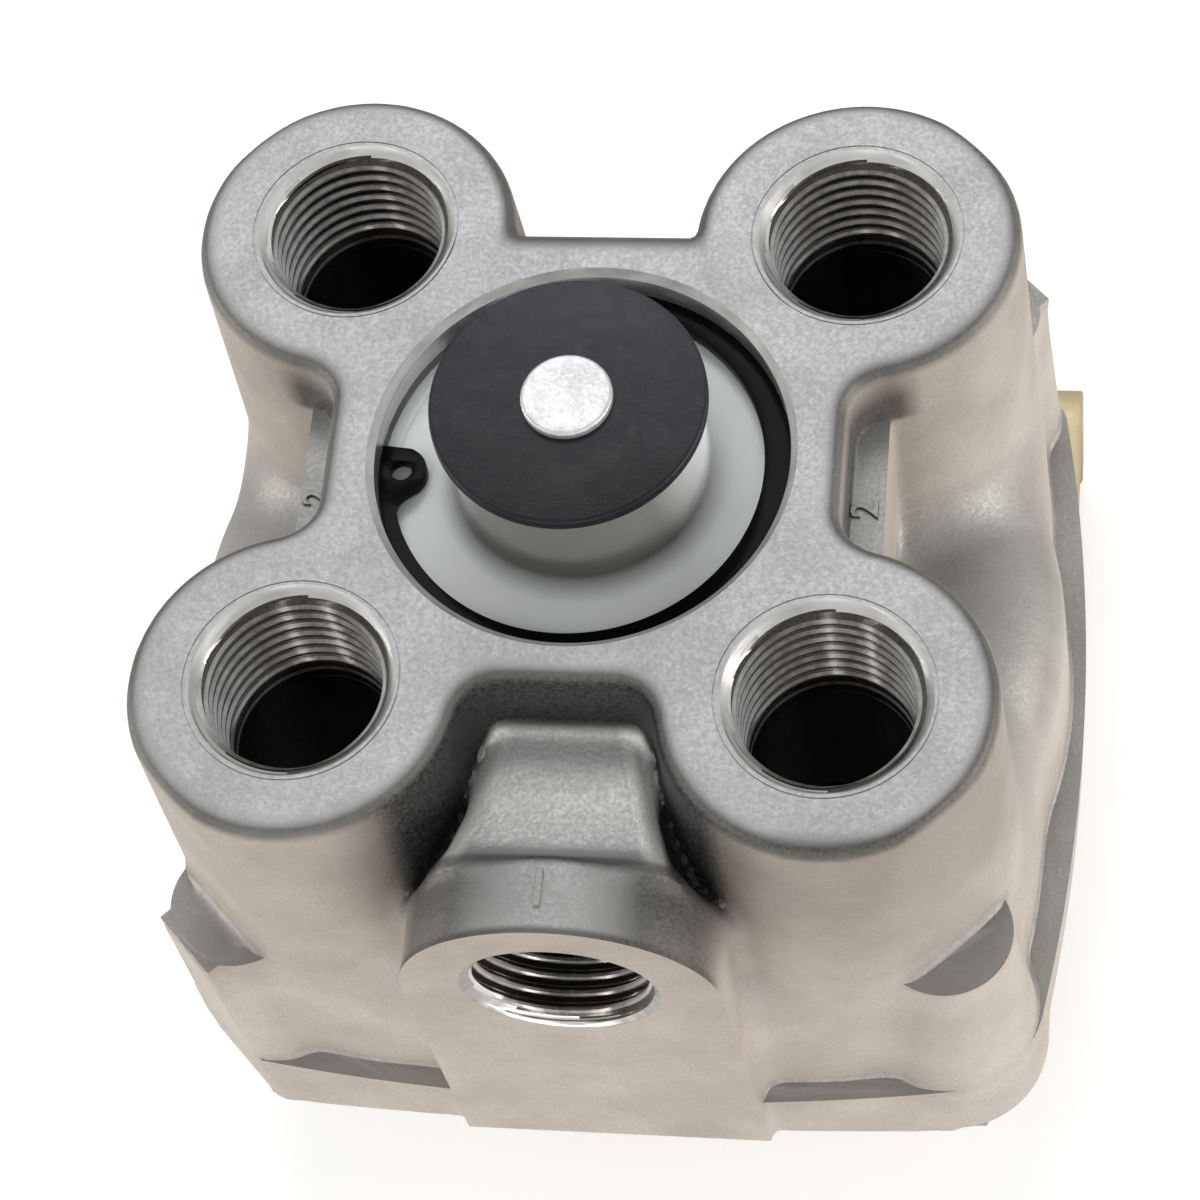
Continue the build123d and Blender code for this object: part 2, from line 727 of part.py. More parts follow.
# Retaining ring with two lugs, widest opposite its gap
ring_top_z = top_z - ring_groove_drop
ring_outer_radius = exhaust_bore_radius + ring_groove_depth - fit_clearance
ring_gap_middle = (ring_gap_start + ring_gap_end) / 2
lug_centre_radius = exhaust_bore_radius - ring_lug_inset
with BuildPart() as retaining_ring:
    with BuildSketch(Plane.XY.offset(ring_top_z)):
        Circle(ring_outer_radius)
        with PolarLocations(ring_offset, 1, start_angle=ring_gap_middle):
            Circle(ring_inner_radius, mode=Mode.SUBTRACT)
        with BuildLine(mode=Mode.PRIVATE) as gap:
            gap_reach = 2 * exhaust_bore_radius
            Polyline(
                (0, 0),
                (gap_reach * cos(radians(ring_gap_start)), gap_reach * sin(radians(ring_gap_start))),
                (gap_reach * cos(radians(ring_gap_end)), gap_reach * sin(radians(ring_gap_end))),
                close=True,
            )
        make_face(gap.edges(), mode=Mode.SUBTRACT)
        lug_turn = ring_lug_radius / lug_centre_radius * 57.3
        for lug_angle in (ring_gap_start - lug_turn, ring_gap_end + lug_turn):
            with PolarLocations(lug_centre_radius, 1, start_angle=lug_angle):
                Circle(ring_lug_radius)
                with Locations((ring_lug_inset / 2, 0)):
                    Rectangle(ring_lug_inset, 2 * ring_lug_radius)
                Circle(ring_lug_hole, mode=Mode.SUBTRACT)
    extrude(amount=-ring_thickness)
retaining_ring.part.label = "retaining_ring"
export_step(retaining_ring.part, "parts/retaining_ring.step")

# Exhaust cover
bell_foot_z = ring_top_z - ring_thickness
bell_base_z = bell_foot_z - cover_ring_thickness
bell_seat_z = bell_foot_z + bell_height
bell_floor_z = bell_foot_z - bell_rim_step
bell_waist_radius = bell_foot_radius - bell_fillet
cover_insert_radius = exhaust_bore_radius - fit_clearance
ring_seal_groove = cover_ring_seal_section + 2 * seal_clearance
ring_seal_z = bell_base_z + cover_ring_thickness / 2
ring_groove_floor = exhaust_bore_radius - ring_seal_groove
with BuildPart() as exhaust_cover:
    with BuildSketch(Plane.XZ):
        with BuildLine():
            Polyline(
                (bell_foot_radius, bell_floor_z),
                (bell_rim_radius, bell_floor_z),
                (bell_rim_radius, bell_foot_z),
                (cover_insert_radius, bell_foot_z),
                (cover_insert_radius, ring_seal_z + ring_seal_groove / 2),
                (ring_groove_floor, ring_seal_z + ring_seal_groove / 2),
                (ring_groove_floor, ring_seal_z - ring_seal_groove / 2),
                (cover_insert_radius, ring_seal_z - ring_seal_groove / 2),
                (cover_insert_radius, bell_base_z),
                (bell_foot_radius - bell_wall, bell_base_z),
                (bell_waist_radius - bell_wall, bell_floor_z + bell_fillet / 2),
                (bell_throat_radius, bell_seat_z - bell_wall),
                (bell_throat_radius, bell_seat_z),
                (bell_top_radius, bell_seat_z),
                (bell_waist_radius, bell_floor_z + bell_fillet),
            )
            RadiusArc(
                (bell_waist_radius, bell_floor_z + bell_fillet),
                (bell_foot_radius, bell_floor_z),
                -bell_fillet,
            )
        make_face()
    revolve(axis=Axis.Z)
    hub_bottom_z = bell_seat_z - hub_length
    with BuildSketch(Plane.XY.offset(hub_bottom_z)):
        Circle(hub_radius)
    extrude(amount=hub_length)
    spoke_top_z = bell_seat_z - bell_wall
    with BuildSketch(Plane.XY.offset(spoke_top_z)):
        with PolarLocations(bell_throat_radius / 2, spoke_count, start_angle=45):
            Rectangle(bell_throat_radius + bell_wall / 2, spoke_thickness)
    extrude(amount=-spoke_depth + bell_wall)
    with BuildSketch(Plane.XY.offset(hub_bottom_z)):
        Circle(rivet_radius + rivet_hole_clearance)
    extrude(amount=hub_length, mode=Mode.SUBTRACT)
exhaust_cover.part.label = "exhaust_cover"
export_step(exhaust_cover.part, "parts/exhaust_cover.step")

with BuildPart() as exhaust_cover_seal:
    exhaust_seal_radius = ring_groove_floor + ring_seal_groove / 2
    round_seal(exhaust_seal_radius, cover_ring_seal_section, ring_seal_z)
exhaust_cover_seal.part.label = "exhaust_cover_seal"
export_step(exhaust_cover_seal.part, "parts/exhaust_cover_seal.step")

# Exhaust diaphragm, a flat rubber disc that lies on the bell
diaphragm_top_z = bell_seat_z + diaphragm_thickness
with BuildPart() as exhaust_diaphragm:
    with BuildSketch(Plane.XY.offset(bell_seat_z)):
        Circle(diaphragm_radius)
        Circle(rivet_radius + rivet_hole_clearance, mode=Mode.SUBTRACT)
    extrude(amount=diaphragm_thickness)
    rim_edges = exhaust_diaphragm.edges().sort_by(SortBy.LENGTH)[-2:]
    fillet(rim_edges, diaphragm_edge_radius)
exhaust_diaphragm.part.label = "exhaust_diaphragm"
export_step(exhaust_diaphragm.part, "parts/exhaust_diaphragm.step")

# Rivet through the diaphragm, hub and backing washer
washer_bottom_z = hub_bottom_z - backing_washer_thickness
with BuildPart() as diaphragm_rivet:
    with BuildSketch(Plane.XY.offset(diaphragm_top_z)):
        Circle(rivet_head_radius)
    extrude(amount=rivet_head_height)
    fillet(diaphragm_rivet.edges().sort_by(Axis.Z)[-1], rivet_head_edge)
    with BuildSketch(Plane.XY.offset(diaphragm_top_z)):
        Circle(rivet_radius)
    extrude(amount=washer_bottom_z - diaphragm_top_z)
    with BuildSketch(Plane.XY.offset(washer_bottom_z)):
        Circle(rivet_tail_radius)
    extrude(amount=-rivet_tail_height)
    fillet(diaphragm_rivet.edges().sort_by(Axis.Z)[0], rivet_head_edge)
diaphragm_rivet.part.label = "diaphragm_rivet"
export_step(diaphragm_rivet.part, "parts/diaphragm_rivet.step")

with BuildPart() as backing_washer:
    with BuildSketch(Plane.XY.offset(washer_bottom_z)):
        Circle(backing_washer_radius)
        Circle(rivet_radius + rivet_hole_clearance, mode=Mode.SUBTRACT)
    extrude(amount=backing_washer_thickness)
backing_washer.part.label = "backing_washer"
export_step(backing_washer.part, "parts/backing_washer.step")

# Valve retainer, which guides the valve's stem and holds its spring
retainer_top_z = bell_base_z
retainer_step_z = top_z - retainer_step_drop
retainer_foot_z = retainer_step_z - retainer_length
retainer_radius = cavity_radius - fit_clearance
retainer_seal_z = (retainer_step_z + retainer_foot_z) / 2
stem_groove = stem_seal_section + running_clearance + 2 * seal_clearance
stem_seal_z = retainer_step_z - guide_length / 2
spring_recess_z = retainer_step_z - retainer_flange
with BuildPart() as valve_retainer:
    with BuildSketch(Plane.XZ):
        with BuildLine():
            Polyline(
                (guide_radius, retainer_top_z),
                (cover_insert_radius, retainer_top_z),
                (cover_insert_radius, retainer_step_z),
                (retainer_radius, retainer_step_z),
                (retainer_radius, retainer_seal_z + retainer_groove / 2),
                (cavity_radius - retainer_groove, retainer_seal_z + retainer_groove / 2),
                (cavity_radius - retainer_groove, retainer_seal_z - retainer_groove / 2),
                (retainer_radius, retainer_seal_z - retainer_groove / 2),
                (retainer_radius, retainer_foot_z),
                (retainer_inner_radius, retainer_foot_z),
                (retainer_inner_radius, spring_recess_z),
                (guide_outer_radius, spring_recess_z),
                (guide_outer_radius, retainer_step_z - guide_length),
                (guide_radius, retainer_step_z - guide_length),
                (guide_radius, stem_seal_z - stem_groove / 2),
                (stem_radius + stem_groove, stem_seal_z - stem_groove / 2),
                (stem_radius + stem_groove, stem_seal_z + stem_groove / 2),
                (guide_radius, stem_seal_z + stem_groove / 2),
                close=True,
            )
        make_face()
    revolve(axis=Axis.Z)
valve_retainer.part.label = "valve_retainer"
export_step(valve_retainer.part, "parts/valve_retainer.step")

with BuildPart() as retainer_seal:
    retainer_seal_radius = cavity_radius - retainer_groove / 2
    round_seal(retainer_seal_radius, retainer_seal_section, retainer_seal_z)
retainer_seal.part.label = "retainer_seal"
export_step(retainer_seal.part, "parts/retainer_seal.step")

with BuildPart() as stem_seal:
    stem_seal_radius = stem_radius + running_clearance + seal_clearance + stem_seal_section / 2
    round_seal(stem_seal_radius, stem_seal_section, stem_seal_z)
stem_seal.part.label = "stem_seal"
export_step(stem_seal.part, "parts/stem_seal.step")

# Inlet and exhaust valve: a hollow stem with a plate, and the rubber moulded under it
plate_bottom_z = rubber_face_z + valve_rubber_thickness
plate_top_z = plate_bottom_z + valve_plate_thickness
with BuildPart() as valve_stem:
    with BuildSketch(Plane.XZ):
        with BuildLine():
            Polyline(
                (stem_bore_radius, top_z - stem_top_drop),
                (stem_radius, top_z - stem_top_drop),
                (stem_radius, plate_top_z),
                (valve_disc_radius, plate_top_z),
                (valve_disc_radius, plate_bottom_z),
                (stem_bore_radius, plate_bottom_z),
                close=True,
            )
        make_face()
    revolve(axis=Axis.Z)
valve_stem.part.label = "valve_stem"
export_step(valve_stem.part, "parts/valve_stem.step")

with BuildPart() as valve_rubber:
    with BuildSketch(Plane.XY.offset(rubber_face_z + seal_clearance)):
        Circle(valve_disc_radius)
        Circle(stem_bore_radius, mode=Mode.SUBTRACT)
    extrude(amount=valve_rubber_thickness - seal_clearance)
valve_rubber.part.label = "valve_rubber"
export_step(valve_rubber.part, "parts/valve_rubber.step")

# Valve spring under its seat washer
with BuildPart() as spring_washer:
    with BuildSketch(Plane.XY.offset(spring_recess_z)):
        Circle(spring_washer_radius)
        Circle(guide_outer_radius + fit_clearance, mode=Mode.SUBTRACT)
    extrude(amount=-spring_washer_thickness)
spring_washer.part.label = "spring_washer"
export_step(spring_washer.part, "parts/spring_washer.step")

with BuildPart() as valve_spring:
    valve_spring_foot = plate_top_z + valve_spring_wire_radius + seal_clearance
    valve_spring_top = spring_recess_z - spring_washer_thickness - valve_spring_wire_radius - seal_clearance
    valve_spring_height = valve_spring_top - valve_spring_foot
    with BuildLine() as coil:
        Helix(
            valve_spring_height / valve_spring_turns,
            valve_spring_height,
            valve_spring_radius,
            center=(0, 0, valve_spring_foot),
        )
    with BuildSketch(Plane(origin=coil.line @ 0, z_dir=coil.line % 0)):
        Circle(valve_spring_wire_radius)
    sweep(path=coil.line, is_frenet=True)
valve_spring.part.label = "valve_spring"
export_step(valve_spring.part, "parts/valve_spring.step")
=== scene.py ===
from math import ceil, cos, pi, radians, sin, sqrt, tan

import bmesh
import bpy
import numpy as np
from mathutils import Matrix, Vector


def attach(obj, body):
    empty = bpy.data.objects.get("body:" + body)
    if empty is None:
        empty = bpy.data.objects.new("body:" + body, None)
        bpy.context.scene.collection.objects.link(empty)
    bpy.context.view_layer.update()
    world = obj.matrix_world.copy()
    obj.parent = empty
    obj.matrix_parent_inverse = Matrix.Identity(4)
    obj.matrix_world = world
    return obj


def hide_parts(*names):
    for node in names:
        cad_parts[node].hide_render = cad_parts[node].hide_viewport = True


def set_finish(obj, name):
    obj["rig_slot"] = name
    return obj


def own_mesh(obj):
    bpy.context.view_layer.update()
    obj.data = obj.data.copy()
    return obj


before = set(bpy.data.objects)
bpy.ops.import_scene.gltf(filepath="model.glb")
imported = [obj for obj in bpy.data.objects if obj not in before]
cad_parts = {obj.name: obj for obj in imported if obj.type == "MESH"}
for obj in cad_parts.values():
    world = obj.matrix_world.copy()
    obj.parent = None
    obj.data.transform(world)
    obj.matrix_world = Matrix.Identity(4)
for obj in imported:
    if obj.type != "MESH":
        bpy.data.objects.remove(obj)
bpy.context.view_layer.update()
HOUSING = "valve_housing"
MM = 0.001

# Main sizes of the part in millimetres, as in the CAD model
TOP = 92.0
JOINT = 27.0
PORT = 27.0
SCREW = 38.0
FACE = 51.0
SUPPLY_Z = 70.7
SUPPLY_BOSS_Z = 69.4
FLANGE_TOP = 36.5
COLUMN_TOP = 59.0
LEDGE_TOP = 83.5
COVER_FLANGE = 23.0
BRACKET_FOOT = 19.8

# Pipe threads
PORT_MOUTH = 10.8
PORT_CREST = 9.16
PORT_PITCH = 1.814
PORT_LENGTH = 15.0
PORT_PASSAGE = 8.6
SUPPLY_PASSAGE = 7.2
CONTROL_MOUTH = 8.4
CONTROL_PASSAGE = 4.0

# Exhaust bore with the groove of its retaining ring
EXHAUST_RADIUS = 21.7
GROOVE_RADIUS = 22.7
RING_RADIUS = 22.6
RING_TOP = 88.5
RING_FLOOR = 87.2
LUG_ANGLES = (129.0, 182.0)
LUG_CENTRE = 19.35
LUG_RADIUS = 2.7

# Chamber, cover and thread chamfer
CHAMBER_RADIUS = 44.0
CAVITY_RADIUS = 39.6
CHAMFER_DEPTH = 0.85

# Material numbers of the faces of body, cover and threads
TURNED_FACES, CREST_LIGHT_FACES, BORED_FACES = 0, 1, 2


scene = bpy.context.scene
scene.view_settings.view_transform = "Standard"


def new_object(name, data):
    obj = bpy.data.objects.new(name, data)
    scene.collection.objects.link(obj)
    return obj


# Camera at the photograph's place, with its lens

camera_data = bpy.data.cameras.new("camera")
camera_data.lens = 109.596
camera_data.sensor_width = 36.0
camera_data.clip_start = 0.01
camera_data.clip_end = 20.0
camera = new_object("camera", camera_data)
camera.matrix_world = Matrix((
    (0.988778, -0.026113, 0.147092, 0.057779),
    (0.090767, 0.887044, -0.452675, -0.183768),
    (-0.118656, 0.460946, 0.879460, 0.415767),
    (0.0, 0.0, 0.0, 1.0),
))
scene.camera = camera


# Mesh helpers, all in millimetres in the part's frame

def new_piece(name, points, faces, smooth=True):
    mesh = bpy.data.meshes.new(name)
    mesh.from_pydata((np.asarray(points, float) * MM).tolist(), [], [list(f) for f in faces])
    mesh.validate()
    obj = new_object(name, mesh)
    if smooth:
        mesh.polygons.foreach_set("use_smooth", [True] * len(mesh.polygons))
    return obj


def lathe(name, profile, segments=128, closed=False, place=None):
    """Turns (radius, height) points round the Z axis. closed joins the last point to the first."""
    points, rings = [], []
    turn = np.linspace(0, 2 * pi, segments, endpoint=False)
    for r, h in profile:
        if r < 1e-6:
            rings.append([len(points)] * segments)
            points.append((0, 0, h))
        else:
            rings.append(list(range(len(points), len(points) + segments)))
            points.extend(zip(r * np.cos(turn), r * np.sin(turn), np.full(segments, h)))
    faces = []
    pairs = list(zip(rings, rings[1:])) + ([(rings[-1], rings[0])] if closed else [])
    for a, b in pairs:
        for i in range(segments):
            j = (i + 1) % segments
            face = []
            for v in (a[i], a[j], b[j], b[i]):
                if v not in face:
                    face.append(v)
            if len(face) > 2:
                faces.append(face)
    points = np.array(points, float)
    if place is not None:
        points = points @ np.array(place[0]).T + np.array(place[1])
    obj = new_piece(name, points, faces)
    face_outwards(obj)
    return obj


def upright(x=0.0, y=0.0, z=0.0):
    return (np.eye(3), (x, y, z))


def drill(radius, start, end, segments, x=0.0, y=0.0):
    """Upright round cutter between two heights."""
    profile = [(0, start), (radius, start), (radius, end), (0, end)]
    return lathe("hole", profile, segments, place=upright(x, y))


def face_outwards(obj):
    bm = bmesh.new()
    bm.from_mesh(obj.data)
    bmesh.ops.recalc_face_normals(bm, faces=bm.faces)
    bm.to_mesh(obj.data)
    bm.free()


def plate(name, lower, upper, place=None):
    """Solid between two closed outlines of the same count of (x, y, z) points."""
    n = len(lower)
    points = lower + upper
    faces = [list(range(n))[::-1], list(range(n, 2 * n))]
    faces += [[i, (i + 1) % n, (i + 1) % n + n, i + n] for i in range(n)]
    points = np.array(points, float)
    if place is not None:
        points = points @ np.array(place[0]).T + np.array(place[1])
    obj = new_piece(name, points, faces, smooth=False)
    face_outwards(obj)
    return obj


def prism(name, outline, low, high, place=None):
    """Solid between two heights over a closed outline of (x, y) points."""
    return plate(name, [(x, y, low) for x, y in outline], [(x, y, high) for x, y in outline], place)


def open_ring(name, turn, section):
    """Ring with a gap. section gives its four (radius, height) corners at an angle."""
    points, faces = [], []
    for i, a in enumerate(turn):
        points += [(r * cos(a), r * sin(a), h) for r, h in section(a)]
        if i:
            p, q = 4 * (i - 1), 4 * i
            faces += [(p + k, p + (k + 1) % 4, q + (k + 1) % 4, q + k) for k in range(4)]
    last = 4 * len(turn) - 4
    faces += [(3, 2, 1, 0), (last, last + 1, last + 2, last + 3)]
    ring = new_piece(name, points, faces)
    face_outwards(ring)
    return ring


def circle(radius, x=0.0, y=0.0, segments=96):
    turn = np.radians(np.linspace(0.0, 360.0, segments, endpoint=False))
    return [(x + radius * cos(a), y + radius * sin(a)) for a in turn]


def evaluated_mesh(obj):
    bpy.context.view_layer.update()
    graph = bpy.context.evaluated_depsgraph_get()
    return bpy.data.meshes.new_from_object(obj.evaluated_get(graph))


def settle(obj):
    """Applies the modifiers of an object to its mesh."""
    mesh = evaluated_mesh(obj)
    old = obj.data
    obj.modifiers.clear()
    obj.data = mesh
    bpy.data.meshes.remove(old)


def combine(obj, tools, operation="DIFFERENCE", solver="EXACT"):
    for tool in tools:
        mod = obj.modifiers.new("combine", "BOOLEAN")
        mod.operation = operation
        mod.solver = solver
        mod.object = tool
        settle(obj)
        bpy.data.objects.remove(tool)


def bevel(obj, width, segments=2, angle=30):
    mod = obj.modifiers.new("bevel", "BEVEL")
    mod.width = width * MM
    mod.segments = segments
    mod.limit_method = "ANGLE"
    mod.angle_limit = radians(angle)
    settle(obj)


def shade(obj, angle=35):
    mesh = obj.data
    mesh.polygons.foreach_set("use_smooth", [True] * len(mesh.polygons))
    mesh.set_sharp_from_angle(angle=radians(angle))
    return obj


def join_pieces(name, pieces):
    bm = bmesh.new()
    for piece in pieces:
        bm.from_mesh(piece.data)
    mesh = bpy.data.meshes.new(name)
    bm.to_mesh(mesh)
    bm.free()
    for piece in pieces:
        bpy.data.objects.remove(piece)
    return new_object(name, mesh)


# Distance fields, from which the castings are skinned

def blend_in(a, b, r):
    """Union of two fields with a round fillet."""
    u = np.maximum(r - a, 0)
    v = np.maximum(r - b, 0)
    return np.maximum(r, np.minimum(a, b)) - np.hypot(u, v)


def trim(a, b, r):
    """Intersection of two fields with a rounded edge."""
    u = np.maximum(r + a, 0)
    v = np.maximum(r + b, 0)
    return np.minimum(-r, np.maximum(a, b)) + np.hypot(u, v)


def corner2(u, v):
    """Distance to the corner between two straight sides."""
    return np.hypot(np.maximum(u, 0), np.maximum(v, 0)) + np.minimum(np.maximum(u, v), 0)


def box2(x, y, half_x, half_y):
    return corner2(np.abs(x) - half_x, np.abs(y) - half_y)


def bowed(x, y, middle_x, middle_y, corner, radius):
    """Square with bowed sides and round corners."""
    sides = []
    for u, v, middle in ((x, y, middle_x), (y, x, middle_y)):
        rise = middle - corner
        arc = (corner ** 2 + rise ** 2) / (2 * rise)
        sides.append(np.hypot(np.abs(u) - middle + arc, v) - arc)
    return trim(sides[0], sides[1], radius)


def skin(field, low, high, step):
    """Quads on the zero surface of a field, moved onto it exactly."""
    counts = [int(ceil((h - l) / step)) + 1 for l, h in zip(low, high)]
    xs, ys, zs = (l + step * np.arange(c) for l, c in zip(low, counts))
    phi = np.empty(counts)
    gx, gy = np.meshgrid(xs, ys, indexing="ij")
    for k, z in enumerate(zs):
        phi[:, :, k] = field(gx, gy, np.full_like(gx, z))
    inside = phi < 0
    cells = [c - 1 for c in counts]
    total = np.zeros(cells + [3])
    hits = np.zeros(cells)
    crossings = []
    for axis in range(3):
        near = [slice(None)] * 3
        far = [slice(None)] * 3
        near[axis] = slice(0, -1)
        far[axis] = slice(1, None)
        first, second = phi[tuple(near)], phi[tuple(far)]
        cross = inside[tuple(near)] != inside[tuple(far)]
        share = np.where(cross, first / np.where(cross, first - second, 1), 0)
        crossings.append((cross, inside[tuple(near)]))
        others = [a for a in range(3) if a != axis]
        for du in (0, 1):
            for dv in (0, 1):
                window = [slice(0, cells[axis])] * 3
                window[others[0]] = slice(du, du + cells[others[0]])
                window[others[1]] = slice(dv, dv + cells[others[1]])
                c = cross[tuple(window)]
                hits += c
                total[..., axis] += share[tuple(window)] * c
                total[..., others[0]] += du * c
                total[..., others[1]] += dv * c
    active = hits > 0
    index = np.full(cells, -1)
    index[active] = np.arange(active.sum())
    place = np.argwhere(active) + total[active] / hits[active][:, None]
    points = np.array(low) + place * step
    quads = []
    for axis in range(3):
        cross, lower_inside = crossings[axis]
        u, v = [a for a in range(3) if a != axis]
        spots = np.argwhere(cross)
        keep = (spots[:, u] > 0) & (spots[:, v] > 0)
        keep &= (spots[:, u] < cells[u]) & (spots[:, v] < cells[v])
        spots = spots[keep]
        corners = []
        for du, dv in ((1, 1), (0, 1), (0, 0), (1, 0)):
            at = spots.copy()
            at[:, u] -= du
            at[:, v] -= dv
            corners.append(index[at[:, 0], at[:, 1], at[:, 2]])
        quad = np.stack(corners, 1)
        flip = lower_inside[spots[:, 0], spots[:, 1], spots[:, 2]]
        if axis == 1:
            flip = ~flip
        quad[~flip] = quad[~flip][:, ::-1]
        quads.append(quad)
    quads = np.concatenate(quads)
    e = 0.02
    for _ in range(4):
        x, y, z = points.T
        value = field(x, y, z)
        slope = np.stack([
            field(x + e, y, z) - field(x - e, y, z),
            field(x, y + e, z) - field(x, y - e, z),
            field(x, y, z + e) - field(x, y, z - e),
        ], 1) / (2 * e)
        size = np.maximum((slope ** 2).sum(1), 0.05)
        move = -slope * (value / size)[:, None]
        length = np.linalg.norm(move, axis=1, keepdims=True)
        points = points + move * np.minimum(1, 0.4 * step / np.maximum(length, 1e-9))
    return points, quads


# Body casting

def body_field(x, y, z):
    ax, ay = np.abs(x), np.abs(y)
    rho = np.hypot(x, y)
    diagonal = (x + y) / sqrt(2)
    across = (x - y) / sqrt(2)

    # four drafted bosses and the web between them
    draft = (TOP - z) * tan(radians(2.2))
    web = box2(x, y - 1.0, 27.0, 27.0) - draft
    bosses = np.hypot(ax - PORT, ay - PORT) - 17.2 - draft
    block = trim(blend_in(web, bosses, 4.0), z - TOP, 2.0)
    rear_block = blend_in(trim(web, z - TOP, 4.0), trim(bosses, z - TOP, 2.0), 0.8)
    rear = np.clip((y - 18.0) / 4.0, 0, 1)
    block = block * (1 - rear) + rear_block * rear
    block = trim(block, (ax + ay) / sqrt(2) - 55.4, 1.0)

    # chamber with its shoulder
    lean = tan(radians(1.6))
    chamber = trim(rho - 50.0 + (z - JOINT) * lean, z - 61.0, 12.0)
    shape = blend_in(block, chamber, 6.0)

    # ledges in the side pockets
    ledge = trim(box2(x, y, 30.8, 20.0), z - 83.3, 0.8)
    shape = blend_in(shape, ledge, 0.8)

    # neck to the supply boss
    reach = np.clip(-y, 20.0, 43.0)
    knots = (20.0, 27.0, 36.0, 42.3)
    half = np.interp(reach, knots, (8.4, 8.4, 10.0, 12.2))
    top = np.interp(reach, knots, (81.6, 81.6, 82.0, 82.7))
    edge = np.interp(reach, knots, (2.4, 2.4, 2.6, 3.0))
    neck = corner2(ax - half + edge, z - top + edge) - edge
    neck = np.maximum(neck, -y - 42.3)
    neck = np.maximum(neck, y + 20.0)
    shape = blend_in(shape, neck, 1.8)

    # floor of the two valleys beside the neck, falling outwards
    valley = (z - 78.5 + np.maximum(ax - 8.0, 0) * 0.9) / sqrt(1.81)
    valley = np.maximum(trim(valley, np.abs(y + 34.2) - 8.2, 1.5), ax - 19.5)
    shape = blend_in(shape, valley, 1.8)

    # supply boss and its pad
    slope_right = (18.3 - 16.65) / (SUPPLY_BOSS_Z - JOINT)
    slope_left = (16.65 - 16.0) / (SUPPLY_BOSS_Z - JOINT)
    drop = SUPPLY_BOSS_Z - z
    pad = np.maximum(x - 16.65 - drop * slope_right, -x - 16.65 + drop * slope_left)
    pad = np.maximum(pad, -drop)
    boss = np.minimum(np.hypot(x, z - SUPPLY_BOSS_Z) - 16.65, pad)
    boss = np.maximum(boss, -y - 53.5)
    boss = trim(boss, y + 42.2, 1.5)
    shape = blend_in(shape, boss, 2.5)

    # screw columns, two of them with a locating pad
    column = np.hypot(ax - SCREW, ay - SCREW) - 7.1 - (59.0 - z) * tan(radians(6.0))
    column = trim(column * cos(radians(6.0)), z - 58.7, 0.8)
    shape = blend_in(shape, column, 2.0)
    half_pad = 4.2 + (59.0 - z) * (5.75 - 4.4) / 32.0
    locating = np.maximum(np.abs(across) - half_pad, 53.2 - np.abs(diagonal))
    locating = trim(locating, z - 58.7, 0.8)
    shape = blend_in(shape, locating, 1.5)

    # flange at the joint
    flange = bowed(x, y, 51.3, 50.3, 46.2, 7.5)
    flange = trim(flange, z - 36.2, 0.8)
    shape = blend_in(shape, flange, 1.2)
    shape = trim(shape, np.abs(diagonal) - 61.2, 0.8)
    return np.maximum(shape, 24.0 - z)


def bowed_outline(middle_x, middle_y, corner, radius, diagonal):
    """Points round a bowed square with a 45 degree flat on two corners."""
    outline = []
    for a in np.linspace(0, 2 * pi, 360, endpoint=False):
        low, high = 20.0, 90.0
        for _ in range(40):
            r = (low + high) / 2
            x, y = r * cos(a), r * sin(a)
            d = bowed(x, y, middle_x, middle_y, corner, radius)
            d = max(d, abs(x + y) / sqrt(2) - diagonal)
            if d < 0:
                low = r
            else:
                high = r
        outline.append((low * cos(a), low * sin(a)))
    return outline


def crisp_top(name, outline, top, inset=0.4, depth=3.5):
    """Sharp-edged plate whose sides lean inwards below its top, into the skinned form."""
    outline = np.asarray(outline, float)
    ahead = np.roll(outline, -1, axis=0) - np.roll(outline, 1, axis=0)
    normal = np.stack([ahead[:, 1], -ahead[:, 0]], axis=1)
    normal /= np.linalg.norm(normal, axis=1)[:, None]
    inner = outline - inset * normal
    return plate(name, [(*q, top - depth) for q in inner], [(*q, top) for q in outline])


def crisp_forms():
    """Sharp-edged tops of the flange, columns, locating pads and ledges."""
    forms = [crisp_top("flange", bowed_outline(51.5, 50.5, 46.4, 7.5, 61.0), FLANGE_TOP)]
    for x, y in CORNERS:
        forms.append(crisp_top("column", circle(7.3, x, y), COLUMN_TOP))
        if x * y > 0:
            s = 1 if x > 0 else -1
            outline = []
            for along, aside in ((50.0, -4.4), (61.0, -4.4), (61.0, 4.4), (50.0, 4.4)):
                outline.append((s * (along - aside) / sqrt(2), s * (along + aside) / sqrt(2)))
            forms.append(crisp_top("pad", outline, COLUMN_TOP, 0.25))
    forms.append(crisp_top("ledge", [(-31, -14), (31, -14), (31, 14), (-31, 14)], LEDGE_TOP))
    return forms


FACING_FRONT = np.array([[1, 0, 0], [0, 0, -1], [0, 1, 0]], float)
SQUARE = [(sx * PORT, sy * PORT) for sx in (-1, 1) for sy in (-1, 1)]
CORNERS = [(sx * SCREW, sy * SCREW) for sx in (-1, 1) for sy in (-1, 1)]


